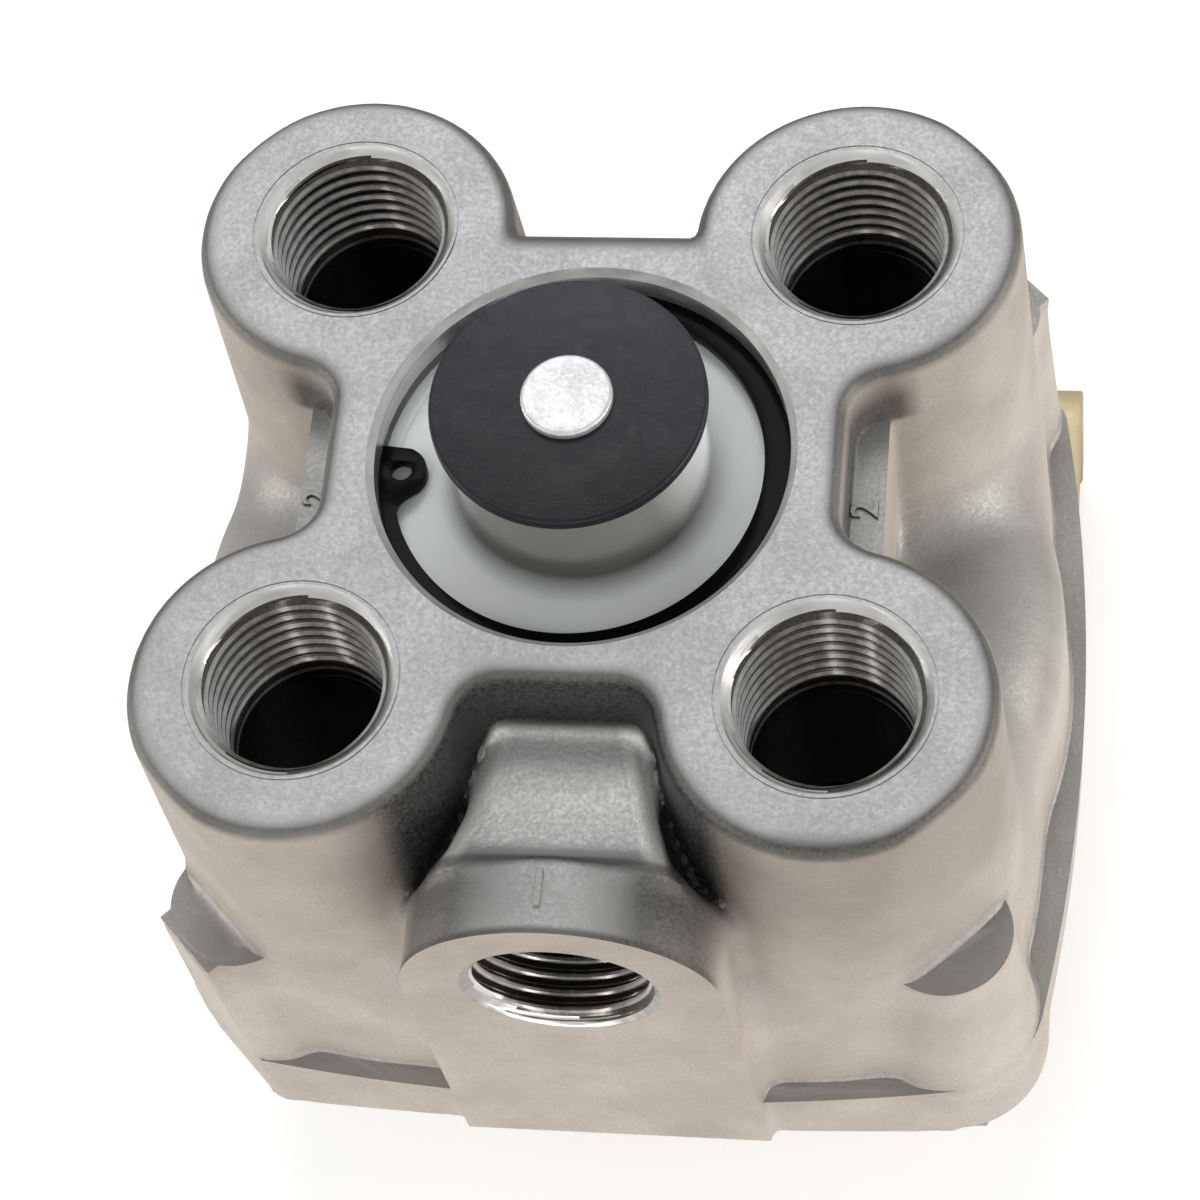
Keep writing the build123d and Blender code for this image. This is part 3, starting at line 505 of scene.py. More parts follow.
def make_body():
    points, quads = skin(body_field, (-62, -56, 22), (62, 62, 94), 0.7)
    body = new_piece("body_casting", points, quads)
    combine(body, crisp_forms(), "UNION", "MANIFOLD")
    cutters = [
        prism("below", [(-80, -80), (80, -80), (80, 80), (-80, 80)], 10, JOINT),
        prism("face", [(-25, -60), (25, -60), (25, -FACE), (-25, -FACE)], 15, 95),
    ]
    for x, y in SQUARE:
        cutters.append(lathe("port", [
            (0, TOP + 2), (PORT_MOUTH, TOP + 2), (PORT_MOUTH, TOP - 16.64),
            (PORT_PASSAGE, TOP - 16.64), (PORT_PASSAGE, 49.0), (0, 49.0),
        ], 144, place=upright(x, y)))
        cutters.append(lathe("tool_mark", [
            (11.1, TOP + 1), (11.25, TOP + 1), (11.25, TOP - 0.12), (11.1, TOP - 0.12),
        ], 144, closed=True, place=upright(x, y)))
    cutters.append(lathe("supply", [
        (0, 53.0), (10.45, 53.0), (9.7, FACE - 16.24),
        (SUPPLY_PASSAGE, FACE - 16.24), (SUPPLY_PASSAGE, 14.0), (0, 14.0),
    ], 144, place=(FACING_FRONT, (0, 0, SUPPLY_Z))))
    cutters.append(lathe("exhaust", [
        (0, TOP + 1), (23.45, TOP + 1), (EXHAUST_RADIUS, TOP - 0.75),
        (EXHAUST_RADIUS, RING_TOP), (GROOVE_RADIUS, RING_TOP), (GROOVE_RADIUS, 87.1),
        (EXHAUST_RADIUS, 87.1), (EXHAUST_RADIUS, 80.0), (18.5, 80.0), (18.5, 56.5),
        (11.8, 56.5), (11.8, 58.0), (10.6, 58.0), (10.6, 50.0), (0, 50.0),
    ], 192))
    arc = [(40.0 + 4.0 * sin(a), 49.0 + 4.0 * cos(a)) for a in np.linspace(0, pi / 2, 7)]
    chamber = [(0, 53.0)] + arc + [(CHAMBER_RADIUS, 20.0), (0, 20.0)]
    cutters.append(lathe("chamber", chamber, 192))
    for x, y in CORNERS:
        cutters.append(drill(4.0, 51.0, 20.0, 48, x, y))
    combine(body, cutters, solver="MANIFOLD")
    return shade(body, 32)


body = make_body()
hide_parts("body")
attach(body, HOUSING)
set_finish(body, "die_cast")


# Pipe threads in the ports, with the material number of each of their faces

THREAD_FACES = {}


def threaded_bore(name, mouth, crest, depth, pitch, length, passage, place):
    """Inside surface of a threaded port: the rows of its mesh follow the helix."""
    segments = 160
    turn = np.linspace(0, 2 * pi, segments, endpoint=False)
    total = length + mouth - crest
    stations = ((0.0, 0.0), (0.17, 0.0), (0.28, 0.30), (0.39, 0.65), (0.49, 0.95), (0.53, 1.0),
                (0.61, 1.0), (0.65, 0.95), (0.76, 0.65), (0.88, 0.30))
    per_turn = len(stations)
    turns = int(ceil(total / pitch)) + 1
    rows = [((k - 1 + u) * pitch, w) for k in range(turns + 1) for u, w in stations]
    points = []
    for start, wave in rows:
        s = np.clip(start + pitch * turn / (2 * pi), 0, total)
        fade = np.clip((total - 1.2 - s) / (1.6 * pitch), 0, 1)
        radius = np.maximum(crest - s / 32 + depth * wave * fade, mouth - 0.1 - s)
        radius = np.where(s < 0.1, mouth - 2 * s, radius)
        points.append(np.stack([radius * np.cos(turn), radius * np.sin(turn), -s], axis=1))
    count = len(rows)
    points = np.concatenate(points)
    faces, kinds = [], []
    for j in range(count - 1):
        for i in range(segments):
            if i + 1 < segments:
                face = (j * segments + i + 1, j * segments + i,
                        (j + 1) * segments + i, (j + 1) * segments + i + 1)
            elif j + per_turn + 1 < count:
                k = j + per_turn
                face = (k * segments, j * segments + i, (j + 1) * segments + i, (k + 1) * segments)
            else:
                continue
            depths = points[list(face), 2]
            if depths.max() - depths.min() > 1e-9:
                faces.append(face)
                on_crest = j % per_turn in (0, per_turn - 1)
                # crest faces take the material with painted highlights
                kind = CREST_LIGHT_FACES if on_crest else TURNED_FACES
                kinds.append(BORED_FACES if depths.mean() > -CHAMFER_DEPTH else kind)
    base = len(points)
    step = np.concatenate([
        np.stack([r * np.cos(turn), r * np.sin(turn), np.full(segments, -total)], axis=1)
        for r in (crest - total / 32, passage)
    ])
    points = np.concatenate([points, step])
    for i in range(segments):
        j = (i + 1) % segments
        faces.append((base + j, base + i, base + segments + i, base + segments + j))
        kinds.append(TURNED_FACES)
    used = sorted({v for face in faces for v in face})
    new = {v: k for k, v in enumerate(used)}
    points = points[used] @ np.array(place[0]).T + np.array(place[1])
    obj = new_piece(name, points, [[new[v] for v in face] for face in faces])
    THREAD_FACES[name] = kinds
    return shade(obj, 28)


threads = []
for number, (x, y) in enumerate(SQUARE):
    threads.append(threaded_bore("delivery_thread_%d" % (number + 1), PORT_MOUTH, PORT_CREST, 1.25,
                                 PORT_PITCH, PORT_LENGTH, PORT_PASSAGE, upright(x, y, TOP)))
threads.append(threaded_bore("supply_thread", 10.4, PORT_CREST, 0.85, PORT_PITCH, PORT_LENGTH,
                             SUPPLY_PASSAGE, (FACING_FRONT, (0, -FACE, SUPPLY_Z))))
for piece in threads:
    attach(piece, HOUSING)
    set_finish(piece, "die_cast")


# Cover casting

def cover_field(x, y, z):
    rho = np.hypot(x, y)
    flange = bowed(x, y, 49.8, 48.8, 47.0, 2.0)
    flange = trim(flange, (np.abs(x) + np.abs(y)) / sqrt(2) - 61.2, 0.6)
    flange = trim(flange, 23.0 - z, 0.6)
    dome = trim(rho - 44.5, 9.0 - z, 5.0)
    shape = blend_in(flange, dome, 1.5)
    boss = rho - 13.0 - z * tan(radians(3.0))
    shape = blend_in(shape, boss, 2.5)
    for turn in (90, 150, 210, 270, 330, 30):
        along = x * cos(radians(turn)) + y * sin(radians(turn))
        aside = np.abs(y * cos(radians(turn)) - x * sin(radians(turn)))
        edge = 3.0 + (along - 12.0) * 6.0 / 28.0
        rib = np.maximum(aside - 1.8 - (z - 3.0) * 0.03, edge - z)
        rib = trim(rib, edge - z, 0.9)
        rib = np.maximum(np.maximum(rib, along - 40.5), 8.0 - along)
        shape = blend_in(shape, rib, 1.4)
    shape = np.maximum(shape, -2.0 - z)
    return np.maximum(shape, z - 28.5)


def make_cover():
    points, quads = skin(cover_field, (-54, -53, -3), (54, 53, 30), 0.9)
    cover = new_piece("cover_casting", points, quads)
    big = [(-80, -80), (80, -80), (80, 80), (-80, 80)]
    cutters = [prism("above", big, JOINT, 40), prism("below", big, -10, 0)]
    cutters.append(lathe("cavity", [
        (0, 17.0), (10.0, 17.0), (10.0, 13.0),
        (CAVITY_RADIUS, 13.0), (CAVITY_RADIUS, 40.0), (0, 40.0),
    ], 96))
    cutters.append(lathe("control", [
        (0, -1.0), (CONTROL_MOUTH, -1.0), (CONTROL_MOUTH, 13.2),
        (CONTROL_PASSAGE, 13.2), (CONTROL_PASSAGE, 20.0), (0, 20.0),
    ], 128))
    for x, y in CORNERS:
        cutters.append(drill(4.5, 20.0, 30.0, 48, x, y))
    combine(cover, cutters, solver="MANIFOLD")
    return shade(cover, 32)


cover = make_cover()
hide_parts("cover")
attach(cover, HOUSING)
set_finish(cover, "die_cast")

FACING_DOWN = np.array([[1, 0, 0], [0, -1, 0], [0, 0, -1]], float)
control_thread = threaded_bore("control_thread", CONTROL_MOUTH, 7.2, 0.95, 1.411, 12.0,
                               CONTROL_PASSAGE, (FACING_DOWN, (0, 0, 0)))
threads.append(control_thread)
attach(control_thread, HOUSING)
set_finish(control_thread, "die_cast")


# Mounting bracket, a folded angle with pressed slots

def make_bracket():
    top, thick, rear, front, bend = COVER_FLANGE, 3.2, 51.0, 30.5, 0.8
    half_width = 49.7
    outer = bend + thick
    quarter = np.linspace(0, pi / 2, 13)
    side = [(front, top)]
    side += [(rear - outer + outer * sin(a), top - outer + outer * cos(a)) for a in quarter]
    side += [(rear, 0.0), (rear - thick, 0.0)]
    side += [(rear - thick - bend + bend * cos(a), top - outer + bend * sin(a))
             for a in np.linspace(0, pi / 2, 7)]
    side += [(front, top - thick)]
    onto_x = np.array([[0, 0, 1], [1, 0, 0], [0, 1, 0]], float)
    bracket = prism("bracket_plate", side, -half_width, half_width, (onto_x, (0, 0, 0)))
    cutters = [drill(46.0, 10, 30, 192)]
    for x in (-SCREW, SCREW):
        cutters.append(drill(4.5, 10, 30, 64, x, SCREW))
    for x in (-33.0, 33.0):
        half = np.linspace(-pi / 2, pi / 2, 33)
        slot = [(x + 2.25 + 5.25 * cos(a), 9.3 + 5.25 * sin(a)) for a in half]
        slot += [(x - 2.25 - 5.25 * cos(a), 9.3 - 5.25 * sin(a)) for a in half]
        cutters.append(prism("slot", slot, -60, -40, (FACING_FRONT, (0, 0, 0))))
    combine(bracket, cutters)
    for x in (-half_width, half_width):
        s = -1 if x > 0 else 1
        for low, level in ((front, True), (0.0, False)):
            corner = [(x - s, low - 1), (x - s, low + 3)]
            corner += [(x + 3 * s - 3 * s * cos(a), low + 3 - 3 * sin(a)) for a in quarter]
            corner += [(x + 3 * s, low - 1)]
            if level:
                tool = prism("corner", corner, 15, 25)
            else:
                tool = prism("corner", corner, -60, -40, (FACING_FRONT, (0, 0, 0)))
            combine(bracket, [tool])
    bevel(bracket, 0.35, 2, 40)
    return shade(bracket, 40)


bracket = make_bracket()
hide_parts("mounting_bracket")
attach(bracket, HOUSING)
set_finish(bracket, "yellow_zinc")


# Hexagon screws and split washers under the cover, the two rear ones under the bracket

SEATS = [(x, y, COVER_FLANGE if y < 0 else BRACKET_FOOT) for x, y in CORNERS]


def make_screw(x, y, z):
    hexagon = circle(6.35 / cos(radians(30)), segments=6)
    head = prism("head", hexagon, -7.3, -2.0)
    cone = lathe("cone", [
        (0, -7.3), (5.9, -7.3), (7.6, -6.32), (7.6, -2.4), (6.3, -2.0), (0, -2.0),
    ], 96)
    combine(head, [cone], operation="INTERSECT")
    bevel(head, 0.12, 2, 25)
    shank = lathe("shank", [
        (0, -2.2), (3.95, -2.2), (3.95, 24.2), (3.1, 25.0), (0, 25.0),
    ], 48)
    screw = join_pieces("screw", [head, shank])
    screw.data.transform(Matrix.Translation(Vector((x, y, z)) * MM))
    return screw


screws = join_pieces("hexagon_screws", [make_screw(*seat) for seat in SEATS])
shade(screws, 30)
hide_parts("cover_screws")
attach(screws, HOUSING)
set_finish(screws, "zinc_steel")


def make_washer(x, y, z):
    inner, outer, thick = 4.05, 6.7, 2.0
    corners = ((inner, -thick), (outer, -thick), (outer, 0.0), (inner, 0.0))
    washer = open_ring("washer", np.radians(np.linspace(4.5, 355.5, 72)), lambda a: corners)
    bevel(washer, 0.15, 2, 50)
    washer.data.transform(Matrix.Translation(Vector((x, y, z)) * MM))
    return washer


washers = join_pieces("split_washers", [make_washer(*seat) for seat in SEATS])
shade(washers, 40)
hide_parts("lock_washers")
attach(washers, HOUSING)
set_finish(washers, "zinc_steel")


# Retaining ring with its lugs, bevelled like a stamping

def ring_inner(a):
    """Inner radius of the ring at an angle, with the round fillet into each lug."""
    fillet = 2.2

    def field(r):
        turned = a - radians(159.5)
        ring = 0.8 * cos(turned) + sqrt(19.5 ** 2 - (0.8 * sin(turned)) ** 2) - r
        best = ring
        for lug in LUG_ANGLES:
            turned = a - radians(lug)
            along = r * cos(turned) - LUG_CENTRE
            aside = r * sin(turned)
            disc = sqrt(along ** 2 + aside ** 2) - LUG_RADIUS
            arm = max(abs(aside) - LUG_RADIUS, -along)
            disc = min(disc, arm)
            u, v = max(fillet - best, 0), max(fillet - disc, 0)
            best = max(fillet, min(best, disc)) - sqrt(u * u + v * v)
        return best

    r = 15.5
    while r < 22.0 and field(r) > 0:
        r += 0.05
    low, high = r - 0.05, r
    for _ in range(20):
        middle = (low + high) / 2
        if field(middle) > 0:
            low = middle
        else:
            high = middle
    return high


def make_ring():
    turn = np.concatenate([
        np.linspace(182.0 - 7.98, 182.0 + 24, 110),
        np.linspace(207.0, 464.0, 220),
        np.linspace(465.5, 489.0 + 7.98, 110),
    ])

    def section(a):
        r = ring_inner(a)
        return (r, RING_FLOOR), (RING_RADIUS, RING_FLOOR), (RING_RADIUS, RING_TOP), (r, RING_TOP)

    ring = open_ring("ring", [radians(degrees) for degrees in turn], section)
    holes = []
    for lug in LUG_ANGLES:
        x, y = LUG_CENTRE * cos(radians(lug)), LUG_CENTRE * sin(radians(lug))
        holes.append(drill(1.15, 80, 95, 40, x, y))
    combine(ring, holes)
    bevel(ring, 0.16, 2, 40)
    ring.name = "internal_ring"
    return shade(ring, 50)


ring = make_ring()
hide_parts("retaining_ring")
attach(ring, HOUSING)
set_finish(ring, "black_steel")


# Exhaust cover: the bell, its hub and spokes

def make_bell():
    profile = [(19.3, 86.5), (19.6, 86.5)]
    profile += [(20.3, 86.5), (20.3, 87.0), (20.45, RING_FLOOR), (21.6, RING_FLOOR)]
    profile += [(21.6, 82.0), (17.5, 82.0)]
    profile += [(11.2, 89.65), (9.8, 99.2), (9.8, 101.1)]
    profile += [(11.75, 101.1), (11.95, 101.0), (12.0, 100.8), (12.55, 96.8), (13.1, 92.8)]
    arc = [(19.4 - 6.3 * cos(a), 92.8 - 6.3 * sin(a)) for a in np.linspace(0, pi / 2, 19)]
    profile += arc[1:-1]
    bell = lathe("bell", profile, 192, closed=True)
    hub = lathe("hub", [
        (0, 95.1), (4.1, 95.1), (4.4, 95.4), (4.4, 101.1), (0, 101.1),
    ], 64)
    spokes = []
    for turn in (45, 135, 225, 315):
        u = Vector((cos(radians(turn)), sin(radians(turn)), 0))
        v = Vector((-u.y, u.x, 0))
        corners = [u * a + v * b for a, b in ((3.0, -1.1), (10.4, -1.1), (10.4, 1.1), (3.0, 1.1))]
        spokes.append(prism("spoke", [(c.x, c.y) for c in corners], 96.6, 99.2))
    combine(bell, [hub] + spokes, operation="UNION")
    shade(bell, 38)
    bell.name = "exhaust_bell"
    return bell


bell = make_bell()
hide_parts("exhaust_cover")
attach(bell, HOUSING)
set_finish(bell, "natural_plastic")

quarter = np.linspace(0, pi / 2, 7)
edge = [(14.2 - 0.4 * (1 - cos(a)), 102.3 + 0.4 * sin(a)) for a in quarter]
under = [(14.2 - 0.4 * (1 - sin(a)), 101.5 - 0.4 * cos(a)) for a in quarter]
disc = lathe("rubber_disc", [
    (2.05, 101.1), (9.0, 101.1), *under, *edge, (9.0, 102.7), (2.05, 102.7),
], 192, closed=True)
shade(disc, 50)
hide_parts("exhaust_diaphragm")
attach(disc, HOUSING)
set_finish(disc, "rubber")

head = [(0, 103.62), (2.6, 103.64), (3.6, 103.7)]
head += [(4.7 - 0.4 * (1 - sin(a)), 103.3 + 0.4 * cos(a)) for a in quarter]
head += [(4.7, 102.75), (4.62, 102.7), (2.0, 102.7)]
tail = [(2.0, 94.3), (3.1, 94.3), (3.1, 93.4), (2.7, 93.1), (0, 93.1)]
rivet = lathe("rivet", head + tail, 96)
shade(rivet, 40)
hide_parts("diaphragm_rivet")
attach(rivet, HOUSING)
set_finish(rivet, "bright_aluminium")


# Coil springs, built at one length; in the valve they shorten as the pieces under them rise

def coil(name, radius, wire, low, high, turns):
    steps, around = int(turns * 48), 10
    angle = np.linspace(0, 2 * pi * turns, steps + 1)
    share = angle / angle[-1]
    height = low + (high - low) * np.clip((share - 0.04) / 0.92, 0, 1)
    ring = np.linspace(0, 2 * pi, around, endpoint=False)
    points, faces = [], []
    for a, h in zip(angle, height):
        for b in ring:
            r = radius + wire * cos(b)
            points.append((r * cos(a), r * sin(a), h + wire * sin(b)))
    for i in range(steps):
        here, above = i * around, (i + 1) * around
        for k in range(around):
            m = (k + 1) % around
            faces.append((here + k, here + m, above + m, above + k))
    faces += [list(range(around))[::-1], [steps * around + k for k in range(around)]]
    obj = new_piece(name, points, faces)
    face_outwards(obj)
    shade(obj, 60)
    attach(obj, HOUSING)
    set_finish(obj, "spring_steel")
    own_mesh(obj)
    return obj


return_spring = coil("return_spring", 20.5, 0.8, 45.83, 52.17, 2.25)
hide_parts("piston_spring")
seat_spring = coil("seat_spring", 12.3, 0.7, 62.94, 76.46, 4.0)
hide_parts("valve_spring")


# Raised port numbers, plain figures in place of the casting's lettering

def figure(name, text, size, place, turn, tilt=0.0):
    curve = bpy.data.curves.new(name, "FONT")
    curve.body = text
    curve.size = size * MM
    curve.align_x = "CENTER"
    curve.align_y = "CENTER"
    curve.extrude = 0.22 * MM
    curve.bevel_depth = 0.07 * MM
    curve.bevel_resolution = 2
    curve.offset = 0.02 * MM
    temp = new_object(name, curve)
    mesh = evaluated_mesh(temp)
    bpy.data.objects.remove(temp)
    obj = new_object(name, mesh)
    spin = Matrix.Rotation(radians(turn), 4, "Z")
    lean = Matrix.Rotation(radians(tilt), 4, "X")
    mesh.transform(Matrix.Translation(Vector(place) * MM) @ lean @ spin)
    shade(obj, 30)
    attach(obj, HOUSING)
    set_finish(obj, "die_cast")
    return obj


figures = [
    figure("figure_supply", "1", 5.6, (-0.6, -46.4, 86.1), 0),
    figure("figure_left", "2", 4.0, (-29.1, -1.5, 83.55), 90),
    figure("figure_right", "2", 4.0, (29.1, -1.5, 83.55), 90),
    figure("figure_control", "4", 6.5, (0, -23.0, 8.95), 0, tilt=180),
]


# Materials

def srgb(r, g, b):
    out = []
    for c in (r / 255, g / 255, b / 255):
        out.append(c / 12.92 if c <= 0.04045 else ((c + 0.055) / 1.055) ** 2.4)
    return (*out, 1.0)


class Nodes:
    """Short ways to add shader nodes to a material. Colours are sRGB triples or sockets."""

    def __init__(self, name):
        self.material = bpy.data.materials.new(name)
        self.material.use_nodes = True
        self.tree = self.material.node_tree
        self.shader = self.tree.nodes["Principled BSDF"]
        self.coordinates = self.add("ShaderNodeTexCoord").outputs["Object"]
        self.normal = self.add("ShaderNodeNewGeometry").outputs["Normal"]

    def add(self, kind):
        return self.tree.nodes.new(kind)

    def put(self, socket, value):
        if isinstance(value, bpy.types.NodeSocket):
            self.tree.links.new(value, socket)
        else:
            socket.default_value = value

    def noise(self, scale, detail=2.0, roughness=0.5, distortion=0.0, vector=None):
        n = self.add("ShaderNodeTexNoise")
        self.put(n.inputs["Vector"], vector or self.coordinates)
        for key, v in (("Scale", scale), ("Detail", detail),
                       ("Roughness", roughness), ("Distortion", distortion)):
            n.inputs[key].default_value = v
        return n.outputs["Fac"]

    def ramp(self, value, low, high, start=0.0, end=1.0):
        n = self.add("ShaderNodeMapRange")
        n.clamp = True
        self.put(n.inputs["Value"], value)
        for key, v in (("From Min", low), ("From Max", high), ("To Min", start), ("To Max", end)):
            n.inputs[key].default_value = v
        return n.outputs["Result"]

    def maths(self, operation, a, b=0.0):
        n = self.add("ShaderNodeMath")
        n.operation = operation
        self.put(n.inputs[0], a)
        self.put(n.inputs[1], b)
        return n.outputs[0]

    def all_of(self, first, *others):
        """Product of masks."""
        for mask in others:
            first = self.maths("MULTIPLY", first, mask)
        return first

    def mix(self, factor, a, b):
        n = self.add("ShaderNodeMix")
        n.data_type = "RGBA"
        self.put(n.inputs[0], factor)
        for socket, value in ((n.inputs[6], a), (n.inputs[7], b)):
            self.put(socket, srgb(*value) if isinstance(value, tuple) else value)
        return n.outputs[2]

    def tint(self, value, dark, light, low=0.3, high=0.7):
        """Two colours mixed by a noise."""
        return self.mix(self.ramp(value, low, high), dark, light)

    def axis(self, source, which):
        n = self.add("ShaderNodeSeparateXYZ")
        self.put(n.inputs[0], source)
        return n.outputs[which]

    def length(self, vector):
        n = self.add("ShaderNodeVectorMath")
        n.operation = "LENGTH"
        self.put(n.inputs[0], vector)
        return n.outputs["Value"]

    def stretch(self, x, y, z):
        n = self.add("ShaderNodeMapping")
        self.put(n.inputs["Vector"], self.coordinates)
        n.inputs["Scale"].default_value = (x, y, z)
        return n.outputs[0]

    def bump(self, height, distance, strength=1.0, normal=None):
        n = self.add("ShaderNodeBump")
        n.inputs["Strength"].default_value = strength
        n.inputs["Distance"].default_value = distance
        self.put(n.inputs["Height"], height)
        if normal is not None:
            self.put(n.inputs["Normal"], normal)
        return n.outputs["Normal"]

    def set(self, **values):
        for key, value in values.items():
            self.put(self.shader.inputs[key.replace("_", " ")], value)
        return self.material


def cast_metal():
    """As-cast aluminium with a fine sandy skin, and painted shade by slope and height: upright
    faces lightest, level faces grey, rounded edges dark.

    The masks below the plain skin lighten or darken it by place on the object, as the
    photograph shades it. They stay there under any light.
    """
    m = Nodes("cast_metal")
    up = m.axis(m.normal, "Z")
    across = m.maths("ABSOLUTE", m.axis(m.coordinates, "X"))
    depth = m.axis(m.coordinates, "Y")
    height = m.axis(m.coordinates, "Z")
    grain = m.noise(2300, 3, 0.6)
    patches = m.ramp(m.noise(110, 3, 0.55), 0.35, 0.65)
    stains = m.noise(45, 2, 0.5, 0.6)
    # painted light and shade by slope and height: upright faces light and warm, darker higher up;
    # slanting faces and rounded edges grey low down and dark near the top; level faces grey, a
    # little lighter higher up and lightest on the top plane. The stains and the grain are the
    # casting's own.
    side = m.mix(patches, (196, 187, 178), (209, 201, 193))
    upper = m.mix(patches, (176, 167, 158), (190, 181, 172))
    side = m.mix(m.ramp(height, 0.048, 0.084), side, upper)
    side = m.mix(m.ramp(stains, 0.52, 0.72, 0.0, 0.30), side, (176, 165, 158))
    edge = m.mix(patches, (90, 89, 86), (106, 105, 102))
    soft = m.mix(patches, (150, 148, 144), (164, 162, 158))
    edge = m.mix(m.ramp(height, 0.062, 0.078), soft, edge)
    low = m.mix(patches, (146, 144, 141), (160, 158, 155))
    middle = m.mix(patches, (156, 156, 154), (170, 169, 167))
    top = m.mix(patches, (176, 176, 178), (188, 188, 190))
    level = m.mix(m.ramp(height, 0.062, 0.078), low, middle)
    level = m.mix(m.ramp(height, 0.0914, 0.0919), level, top)
    colour = m.mix(m.ramp(up, 0.10, 0.50), side, edge)
    colour = m.mix(m.ramp(up, 0.82, 0.98), colour, level)

    # painted light on the neck's top, lightest next to the web, where the web casts its shadow,
    # with a painted highlight along both of its rounded sides
    flare = m.maths("ADD", across, m.maths("MULTIPLY", depth, 0.26))
    lit_neck_top = m.all_of(m.ramp(flare, 0.0012, 0.0003), m.ramp(depth, -0.0435, -0.0415),
                     m.ramp(depth, -0.0262, -0.0275), m.ramp(height, 0.0785, 0.0800),
                     m.ramp(height, 0.0860, 0.0850), m.ramp(up, 0.15, 0.35))
    plain = m.mix(m.ramp(depth, -0.0400, -0.0290), (176, 174, 172), (228, 226, 223))
    plain = m.mix(m.maths("MULTIPLY", patches, 0.3), plain, (168, 166, 163))
    strip = m.ramp(flare, -0.0020, -0.0008)
    colour = m.mix(lit_neck_top, colour, m.mix(strip, plain, (255, 252, 246)))

    # painted shade in the side pockets
    pocket_shade = m.all_of(m.ramp(across, 0.0235, 0.0255), m.ramp(across, 0.0345, 0.0320),
                      m.ramp(m.maths("ABSOLUTE", depth), 0.0165, 0.0145),
                      m.ramp(height, 0.0915, 0.0865), m.ramp(height, 0.0820, 0.0830),
                      m.ramp(up, 0.75, 0.45, 0.0, 0.85))
    colour = m.mix(pocket_shade, colour, (58, 57, 54))

    # painted shade on the inner side of the front right boss, on that side only
    sideways = m.axis(m.coordinates, "X")
    shoulder_shade = m.all_of(m.ramp(sideways, 0.006, 0.030), m.ramp(depth, -0.020, -0.032),
                        m.ramp(height, 0.058, 0.080), m.ramp(up, 0.97, 0.85, 0.0, 0.42))
    dark = m.mix(m.ramp(up, 0.08, 0.40), (116, 107, 99), (48, 46, 43))
    colour = m.mix(shoulder_shade, colour, dark)

    # painted shade on the right flank of the supply boss, on that side only
    flank_shade = m.all_of(m.ramp(sideways, 0.007, 0.014), m.ramp(depth, -0.0415, -0.0430),
                     m.ramp(height, 0.064, 0.072), m.ramp(up, 0.20, 0.40, 0.0, 0.40))
    colour = m.mix(flank_shade, colour, (58, 55, 52))

    # painted shade, nearly black, in the corners beside the neck
    beside = m.ramp(across, 0.0150, 0.0172)
    near = m.all_of(m.ramp(depth, -0.0435, -0.0415), m.maths("SUBTRACT", 1.0, beside))
    fade = m.maths("ADD", near, m.all_of(beside, m.ramp(depth, -0.0475, -0.0370)))
    steep = m.maths("MAXIMUM", m.ramp(up, 0.80, 0.45), m.ramp(height, 0.0800, 0.0785))
    corner = m.all_of(m.ramp(across, 0.0250, 0.0165), fade, m.ramp(depth, -0.018, -0.022),
                      m.ramp(height, 0.056, 0.072), m.maths("MULTIPLY", steep, 0.97),
                      m.maths("SUBTRACT", 1.0, lit_neck_top))
    colour = m.mix(corner, colour, (24, 23, 22))

    # painted shade on the front edge of the supply boss and in the crease behind the boss, where
    # the neck meets it
    seam_shade = m.all_of(m.ramp(depth, -0.0438, -0.0428), m.ramp(depth, -0.0412, -0.0420))
    rim = m.maths("MAXIMUM", m.ramp(depth, -0.0500, -0.0506), m.maths("MULTIPLY", seam_shade, 0.7))
    rim = m.all_of(rim, m.ramp(up, 0.15, 0.40, 0.0, 0.8), m.ramp(across, 0.0180, 0.0170))
    colour = m.mix(rim, colour, (64, 62, 59))

    colour = m.mix(m.ramp(grain, 0.35, 0.62, 0.0, 0.22), colour, (140, 138, 136))
    rough = m.ramp(grain, 0.3, 0.7, 0.42, 0.60)
    coarse = m.bump(m.noise(380, 3, 0.5), 0.00007)
    fine = m.bump(m.noise(1700, 4, 0.65), 0.00007, normal=coarse)
    m.set(Specular_IOR_Level=0.25)
    return m.set(Base_Color=colour, Metallic=0.45, Roughness=rough, Normal=fine)


def turned_metal():
    """Bored and threaded aluminium with fine tool lines. Its colour is painted shade: dark, as deep
    in a bore, and lighter where the faces turn sideways (along X).
    """
    m = Nodes("turned_metal")
    lines = m.noise(2600, 2, 0.5)
    # painted light: lighter where the faces turn sideways, along X
    aside = m.ramp(m.maths("ABSOLUTE", m.axis(m.normal, "X")), 0.35, 0.85)
    dark = m.tint(lines, (56, 53, 50), (78, 75, 71))
    light = m.tint(lines, (120, 117, 112), (148, 145, 140))
    rough = m.ramp(m.noise(500, 2, 0.5), 0.3, 0.7, 0.12, 0.20)
    return m.set(Base_Color=m.mix(aside, dark, light), Metallic=0.8, Roughness=rough,
                 Normal=m.bump(lines, 0.000006))


def crest_highlights():
    """Crests of the threads with painted highlights, much lighter where they face sideways (along
    X) than where they face front or back.
    """
    m = Nodes("crest_highlights")
    wear = m.ramp(m.noise(700, 3, 0.6), 0.35, 0.65)
    aside = m.ramp(m.maths("ABSOLUTE", m.axis(m.normal, "X")), 0.30, 0.80)
    dark = m.mix(wear, (112, 107, 103), (152, 148, 144))
    light = m.mix(wear, (232, 230, 227), (252, 251, 249))
    return m.set(Base_Color=m.mix(aside, dark, light), Metallic=0.45,
                 Roughness=m.ramp(wear, 0, 1, 0.14, 0.24))


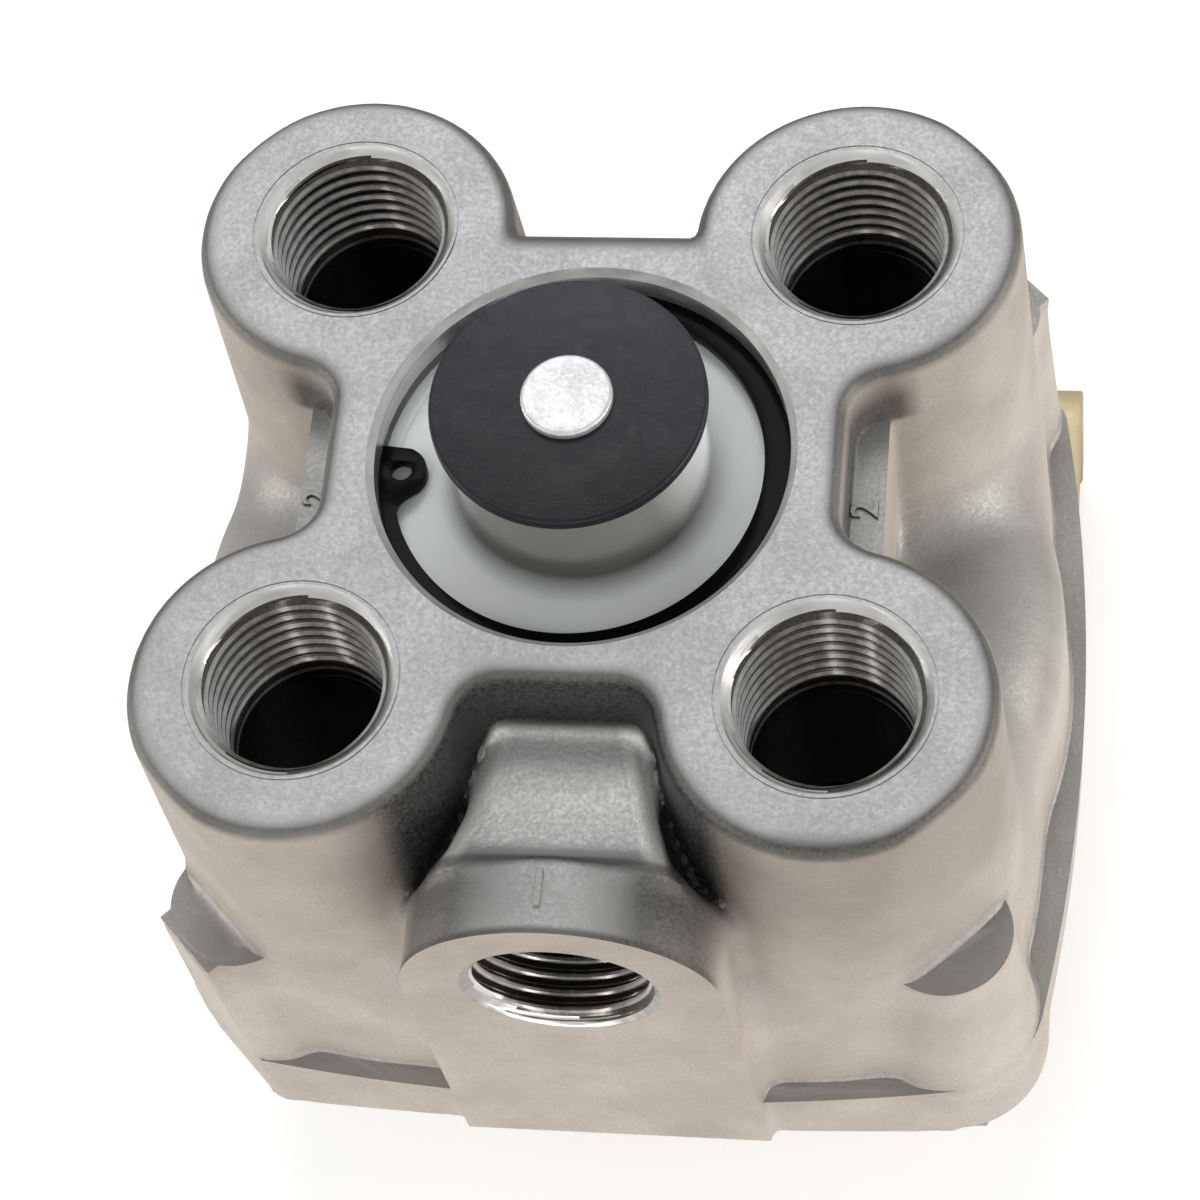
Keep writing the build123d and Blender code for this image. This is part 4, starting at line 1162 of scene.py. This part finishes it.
def bored_metal():
    """Fine bored aluminium of the exhaust bore and its rim."""
    m = Nodes("bored_metal")
    lines = m.noise(1100, 2, 0.5, vector=m.stretch(0.2, 0.2, 1))
    colour = m.tint(lines, (186, 185, 182), (214, 213, 210))
    return m.set(Base_Color=colour, Metallic=0.85, Roughness=m.ramp(lines, 0.3, 0.7, 0.28, 0.40),
                 Normal=m.bump(lines, 0.00001))


def plain_finish(name, cloud, span, dark, light, fine, rough, relief, metallic, specular=None):
    """Two mottled colours with a fine grain. cloud and fine are noise settings."""
    m = Nodes(name)
    colour = m.tint(m.noise(*cloud), dark, light, *span)
    grain = m.noise(*fine)
    if specular is not None:
        m.set(Specular_IOR_Level=specular)
    return m.set(Base_Color=colour, Metallic=metallic, Normal=m.bump(grain, relief),
                 Roughness=m.ramp(grain, 0.3, 0.7, *rough))


def yellow_zinc():
    m = Nodes("yellow_zinc")
    cloud = m.noise(70, 4, 0.6, 0.8)
    fine = m.noise(900, 3, 0.6)
    colour = m.tint(cloud, (190, 172, 134), (202, 188, 154))
    colour = m.mix(m.ramp(cloud, 0.6, 0.78, 0.0, 0.35), colour, (196, 176, 148))
    rough = m.ramp(fine, 0.3, 0.7, 0.32, 0.48)
    rolled = m.bump(m.noise(500, 2, 0.5, vector=m.stretch(0.15, 1, 1)), 0.00003)
    return m.set(Base_Color=colour, Metallic=0.7, Roughness=rough,
                 Normal=m.bump(fine, 0.00003, normal=rolled))


def natural_plastic():
    m = Nodes("natural_plastic")
    cloud = m.ramp(m.noise(60, 3, 0.5), 0.3, 0.7)
    colour = m.mix(cloud, (242, 249, 248), (248, 253, 252))
    # cone darkened towards the front: partly the thin wall's own darker tone over the hollow behind
    # it, partly the painted shadow of the disc above it
    thin_wall_shade = m.mix(cloud, (104, 106, 101), (112, 114, 108))
    up = m.axis(m.normal, "Z")
    radius = m.length(m.stretch(1, 1, 0))
    cone = m.maths("MAXIMUM", m.ramp(up, 0.80, 0.40), m.ramp(radius, 0.0154, 0.0134))
    cone = m.maths("MULTIPLY", cone, m.ramp(m.axis(m.coordinates, "Y"), 0.004, -0.009))
    colour = m.mix(cone, colour, thin_wall_shade)
    swirl = m.bump(m.noise(90, 2, 0.5), 0.0001, 0.5)
    rough = m.ramp(m.noise(800, 2, 0.5), 0.3, 0.7, 0.34, 0.46)
    m.set(Base_Color=colour, Roughness=rough,
          Normal=m.bump(m.noise(1300, 2, 0.5), 0.00002, normal=swirl))
    return m.set(Subsurface_Weight=0.25, Subsurface_Radius=(1.0, 1.0, 0.9), Subsurface_Scale=0.0025)


def rubber():
    """Slate-black rubber with faint scuffs, and a painted sheen that lightens it towards the back.
    """
    m = Nodes("rubber")
    cloud = m.noise(90, 4, 0.6, 0.5)
    front_tone = m.tint(cloud, (17, 18, 23), (27, 29, 35), 0.35)
    painted_rear_sheen = m.tint(cloud, (48, 51, 57), (60, 63, 69), 0.35)
    # painted sheen: lighter towards the back, darker at the front
    colour = m.mix(m.ramp(m.axis(m.coordinates, "Y"), -0.012, 0.014), front_tone, painted_rear_sheen)
    scuff = m.noise(260, 5, 0.7, 1.5)
    colour = m.mix(m.ramp(scuff, 0.60, 0.74, 0.0, 0.30), colour, (84, 86, 94))
    fine = m.noise(2200, 3, 0.6)
    m.set(Specular_IOR_Level=0.2)
    return m.set(Base_Color=colour, Roughness=m.ramp(scuff, 0.3, 0.75, 0.36, 0.52),
                 Normal=m.bump(fine, 0.00004))


CAST = cast_metal()
TURNED = turned_metal()
BY_SLOT = {
    "die_cast": CAST,
    "yellow_zinc": yellow_zinc(),
    "zinc_steel": plain_finish(
        "zinc_steel", (180, 3, 0.6), (0.3, 0.7), (176, 180, 186), (206, 208, 212),
        (1500, 3, 0.6), (0.26, 0.42), 0.00003, 0.9),
    "black_steel": plain_finish(
        "black_steel", (200, 3, 0.6), (0.35, 0.7), (7, 8, 9), (14, 15, 17),
        (1200, 3, 0.6), (0.20, 0.28), 0.000006, 0.0, 0.04),
    "natural_plastic": natural_plastic(),
    "black_plastic": plain_finish(
        "black_plastic", (150, 3, 0.5), (0.3, 0.7), (34, 35, 37), (46, 47, 50),
        (1600, 2, 0.5), (0.4, 0.55), 0.00003, 0.0),
    "rubber": rubber(),
    "bright_aluminium": plain_finish(
        "bright_metal", (420, 3, 0.6), (0.38, 0.66), (196, 197, 199), (218, 219, 221),
        (1900, 4, 0.65), (0.38, 0.52), 0.00006, 0.6),
    "spring_steel": plain_finish(
        "drawn_wire", (900, 3, 0.6), (0.3, 0.7), (150, 151, 153), (184, 184, 186),
        (900, 3, 0.6), (0.22, 0.36), 0.00002, 0.95),
}
NODE_SLOTS = {
    "relay_piston": "die_cast",
    "valve_stem": "bright_aluminium",
    "valve_retainer": "black_plastic",
    "spring_washer": "zinc_steel",
    "backing_washer": "zinc_steel",
}


def paint(obj, *materials):
    obj.data.materials.clear()
    for m in materials:
        obj.data.materials.append(m)


def machined_faces(obj, cut):
    """Gives each face the number of its material, which the cut rule picks by place and normal."""
    mesh = obj.data
    n = len(mesh.polygons)
    centre = np.empty(n * 3)
    normal = np.empty(n * 3)
    mesh.polygons.foreach_get("center", centre)
    mesh.polygons.foreach_get("normal", normal)
    x, y, z = (centre.reshape(-1, 3) / MM).T
    chosen = cut(x, y, z, normal.reshape(-1, 3)[:, 2]).astype(np.int32)
    mesh.polygons.foreach_set("material_index", chosen)
    mesh.update()


def body_cuts(x, y, z, nz):
    in_port = np.hypot(np.abs(x) - PORT, np.abs(y) - PORT) < 10.85
    in_bore = (np.hypot(x, y) < 23.0) & (z < 80.5)
    in_rim = (np.hypot(x, y) < 23.46) & (z > 80.5) & (z < TOP - 0.005)
    in_supply = (np.hypot(x, z - SUPPLY_Z) < 10.45) & (y < -10) & (y > -FACE + 0.01)
    in_chamber = (np.hypot(x, y) < 44.2) & (z < 53.1) & (nz < 0.5)
    cut = ((in_port | in_bore) & (z < TOP - 0.005)) | in_supply | in_chamber
    cut = cut | ((z < JOINT + 0.01) & (nz < -0.9))
    return np.where(in_rim, BORED_FACES, cut)


def cover_cuts(x, y, z, _):
    inside = (np.hypot(x, y) < 39.7) & (z > 12.9)
    bore = (np.hypot(x, y) < 8.45) & (z > 0.005)
    return inside | bore | (z > JOINT - 0.01)


BORED = bored_metal()
CREST_LIGHT = crest_highlights()
paint(body, CAST, TURNED, BORED)
machined_faces(body, body_cuts)
paint(cover, CAST, TURNED)
machined_faces(cover, cover_cuts)
for piece in threads:
    paint(piece, TURNED, CREST_LIGHT, BORED)
    piece.data.polygons.foreach_set("material_index", THREAD_FACES[piece.name])
hardware = [bracket, screws, washers, ring, bell, disc, rivet, return_spring, seat_spring]
for piece in hardware + figures:
    paint(piece, BY_SLOT[piece["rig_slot"]])
for name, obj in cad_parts.items():
    usual = "rubber" if "seal" in name or "rubber" in name else "die_cast"
    paint(obj, BY_SLOT[NODE_SLOTS.get(name, usual)])


# Floor, world and lamps

FAR = 3000
floor = new_piece("floor", [(-FAR, -FAR, 0), (FAR, -FAR, 0), (FAR, FAR, 0), (-FAR, FAR, 0)],
                  [(0, 1, 2, 3)], smooth=False)
m = Nodes("floor")
m.set(Base_Color=srgb(234, 232, 229), Roughness=0.9, Specular_IOR_Level=0.1)
glow = m.add("ShaderNodeEmission")
glow.inputs["Strength"].default_value = 0.5
path = m.add("ShaderNodeLightPath")
lit = m.add("ShaderNodeAddShader")
pick = m.add("ShaderNodeMixShader")
m.put(lit.inputs[0], m.shader.outputs[0])
m.put(lit.inputs[1], glow.outputs[0])
m.put(pick.inputs[0], path.outputs["Is Camera Ray"])
m.put(pick.inputs[1], m.shader.outputs[0])
m.put(pick.inputs[2], lit.outputs[0])
output = [n for n in m.tree.nodes if n.type == "OUTPUT_MATERIAL"][0]
m.put(output.inputs[0], pick.outputs[0])
paint(floor, m.material)

world = bpy.data.worlds.new("studio")
scene.world = world
world.use_nodes = True
tree = world.node_tree
tree.nodes.clear()
path = tree.nodes.new("ShaderNodeLightPath")
soft, white = (tree.nodes.new("ShaderNodeBackground") for _ in range(2))
soft.inputs["Strength"].default_value = 0.52
white.inputs["Strength"].default_value = 1.0
seen = path.outputs["Is Camera Ray"]
for name in ("Is Glossy Ray", "Is Transmission Ray"):
    either = tree.nodes.new("ShaderNodeMath")
    either.operation = "MAXIMUM"
    tree.links.new(seen, either.inputs[0])
    tree.links.new(path.outputs[name], either.inputs[1])
    seen = either.outputs[0]
pick = tree.nodes.new("ShaderNodeMixShader")
tree.links.new(seen, pick.inputs[0])
tree.links.new(soft.outputs[0], pick.inputs[1])
tree.links.new(white.outputs[0], pick.inputs[2])
out = tree.nodes.new("ShaderNodeOutputWorld")
tree.links.new(pick.outputs[0], out.inputs[0])


def lamp(name, place, target, size, power, colour=(1, 1, 1)):
    data = bpy.data.lights.new(name, "AREA")
    data.shape = "RECTANGLE"
    data.size, data.size_y = size
    data.energy = power
    data.color = colour
    obj = new_object(name, data)
    obj.location = place
    direction = Vector(target) - Vector(place)
    obj.rotation_euler = direction.to_track_quat("-Z", "Y").to_euler()


lamp("top", (-0.12, 0.62, 1.00), (0, 0, 0.06), (0.6, 0.4), 3.5)
lamp("left", (-0.80, -0.15, 0.08), (0, 0, 0.05), (0.6, 0.12), 2.9, (1.0, 0.97, 0.94))
lamp("right", (0.80, -0.10, 0.12), (0, 0, 0.05), (0.6, 0.18), 4.3, (1.0, 0.97, 0.94))
lamp("front", (0.05, -0.80, 0.045), (0, 0, 0.04), (1.1, 0.08), 3.4, (1.0, 0.96, 0.92))
lamp("strip_1", (-0.08, -0.60, 0.95), (0, 0, 0.09), (0.04, 0.30), 0.38)
lamp("strip_2", (-0.50, -0.42, 0.88), (0, 0, 0.09), (0.04, 0.30), 0.38)
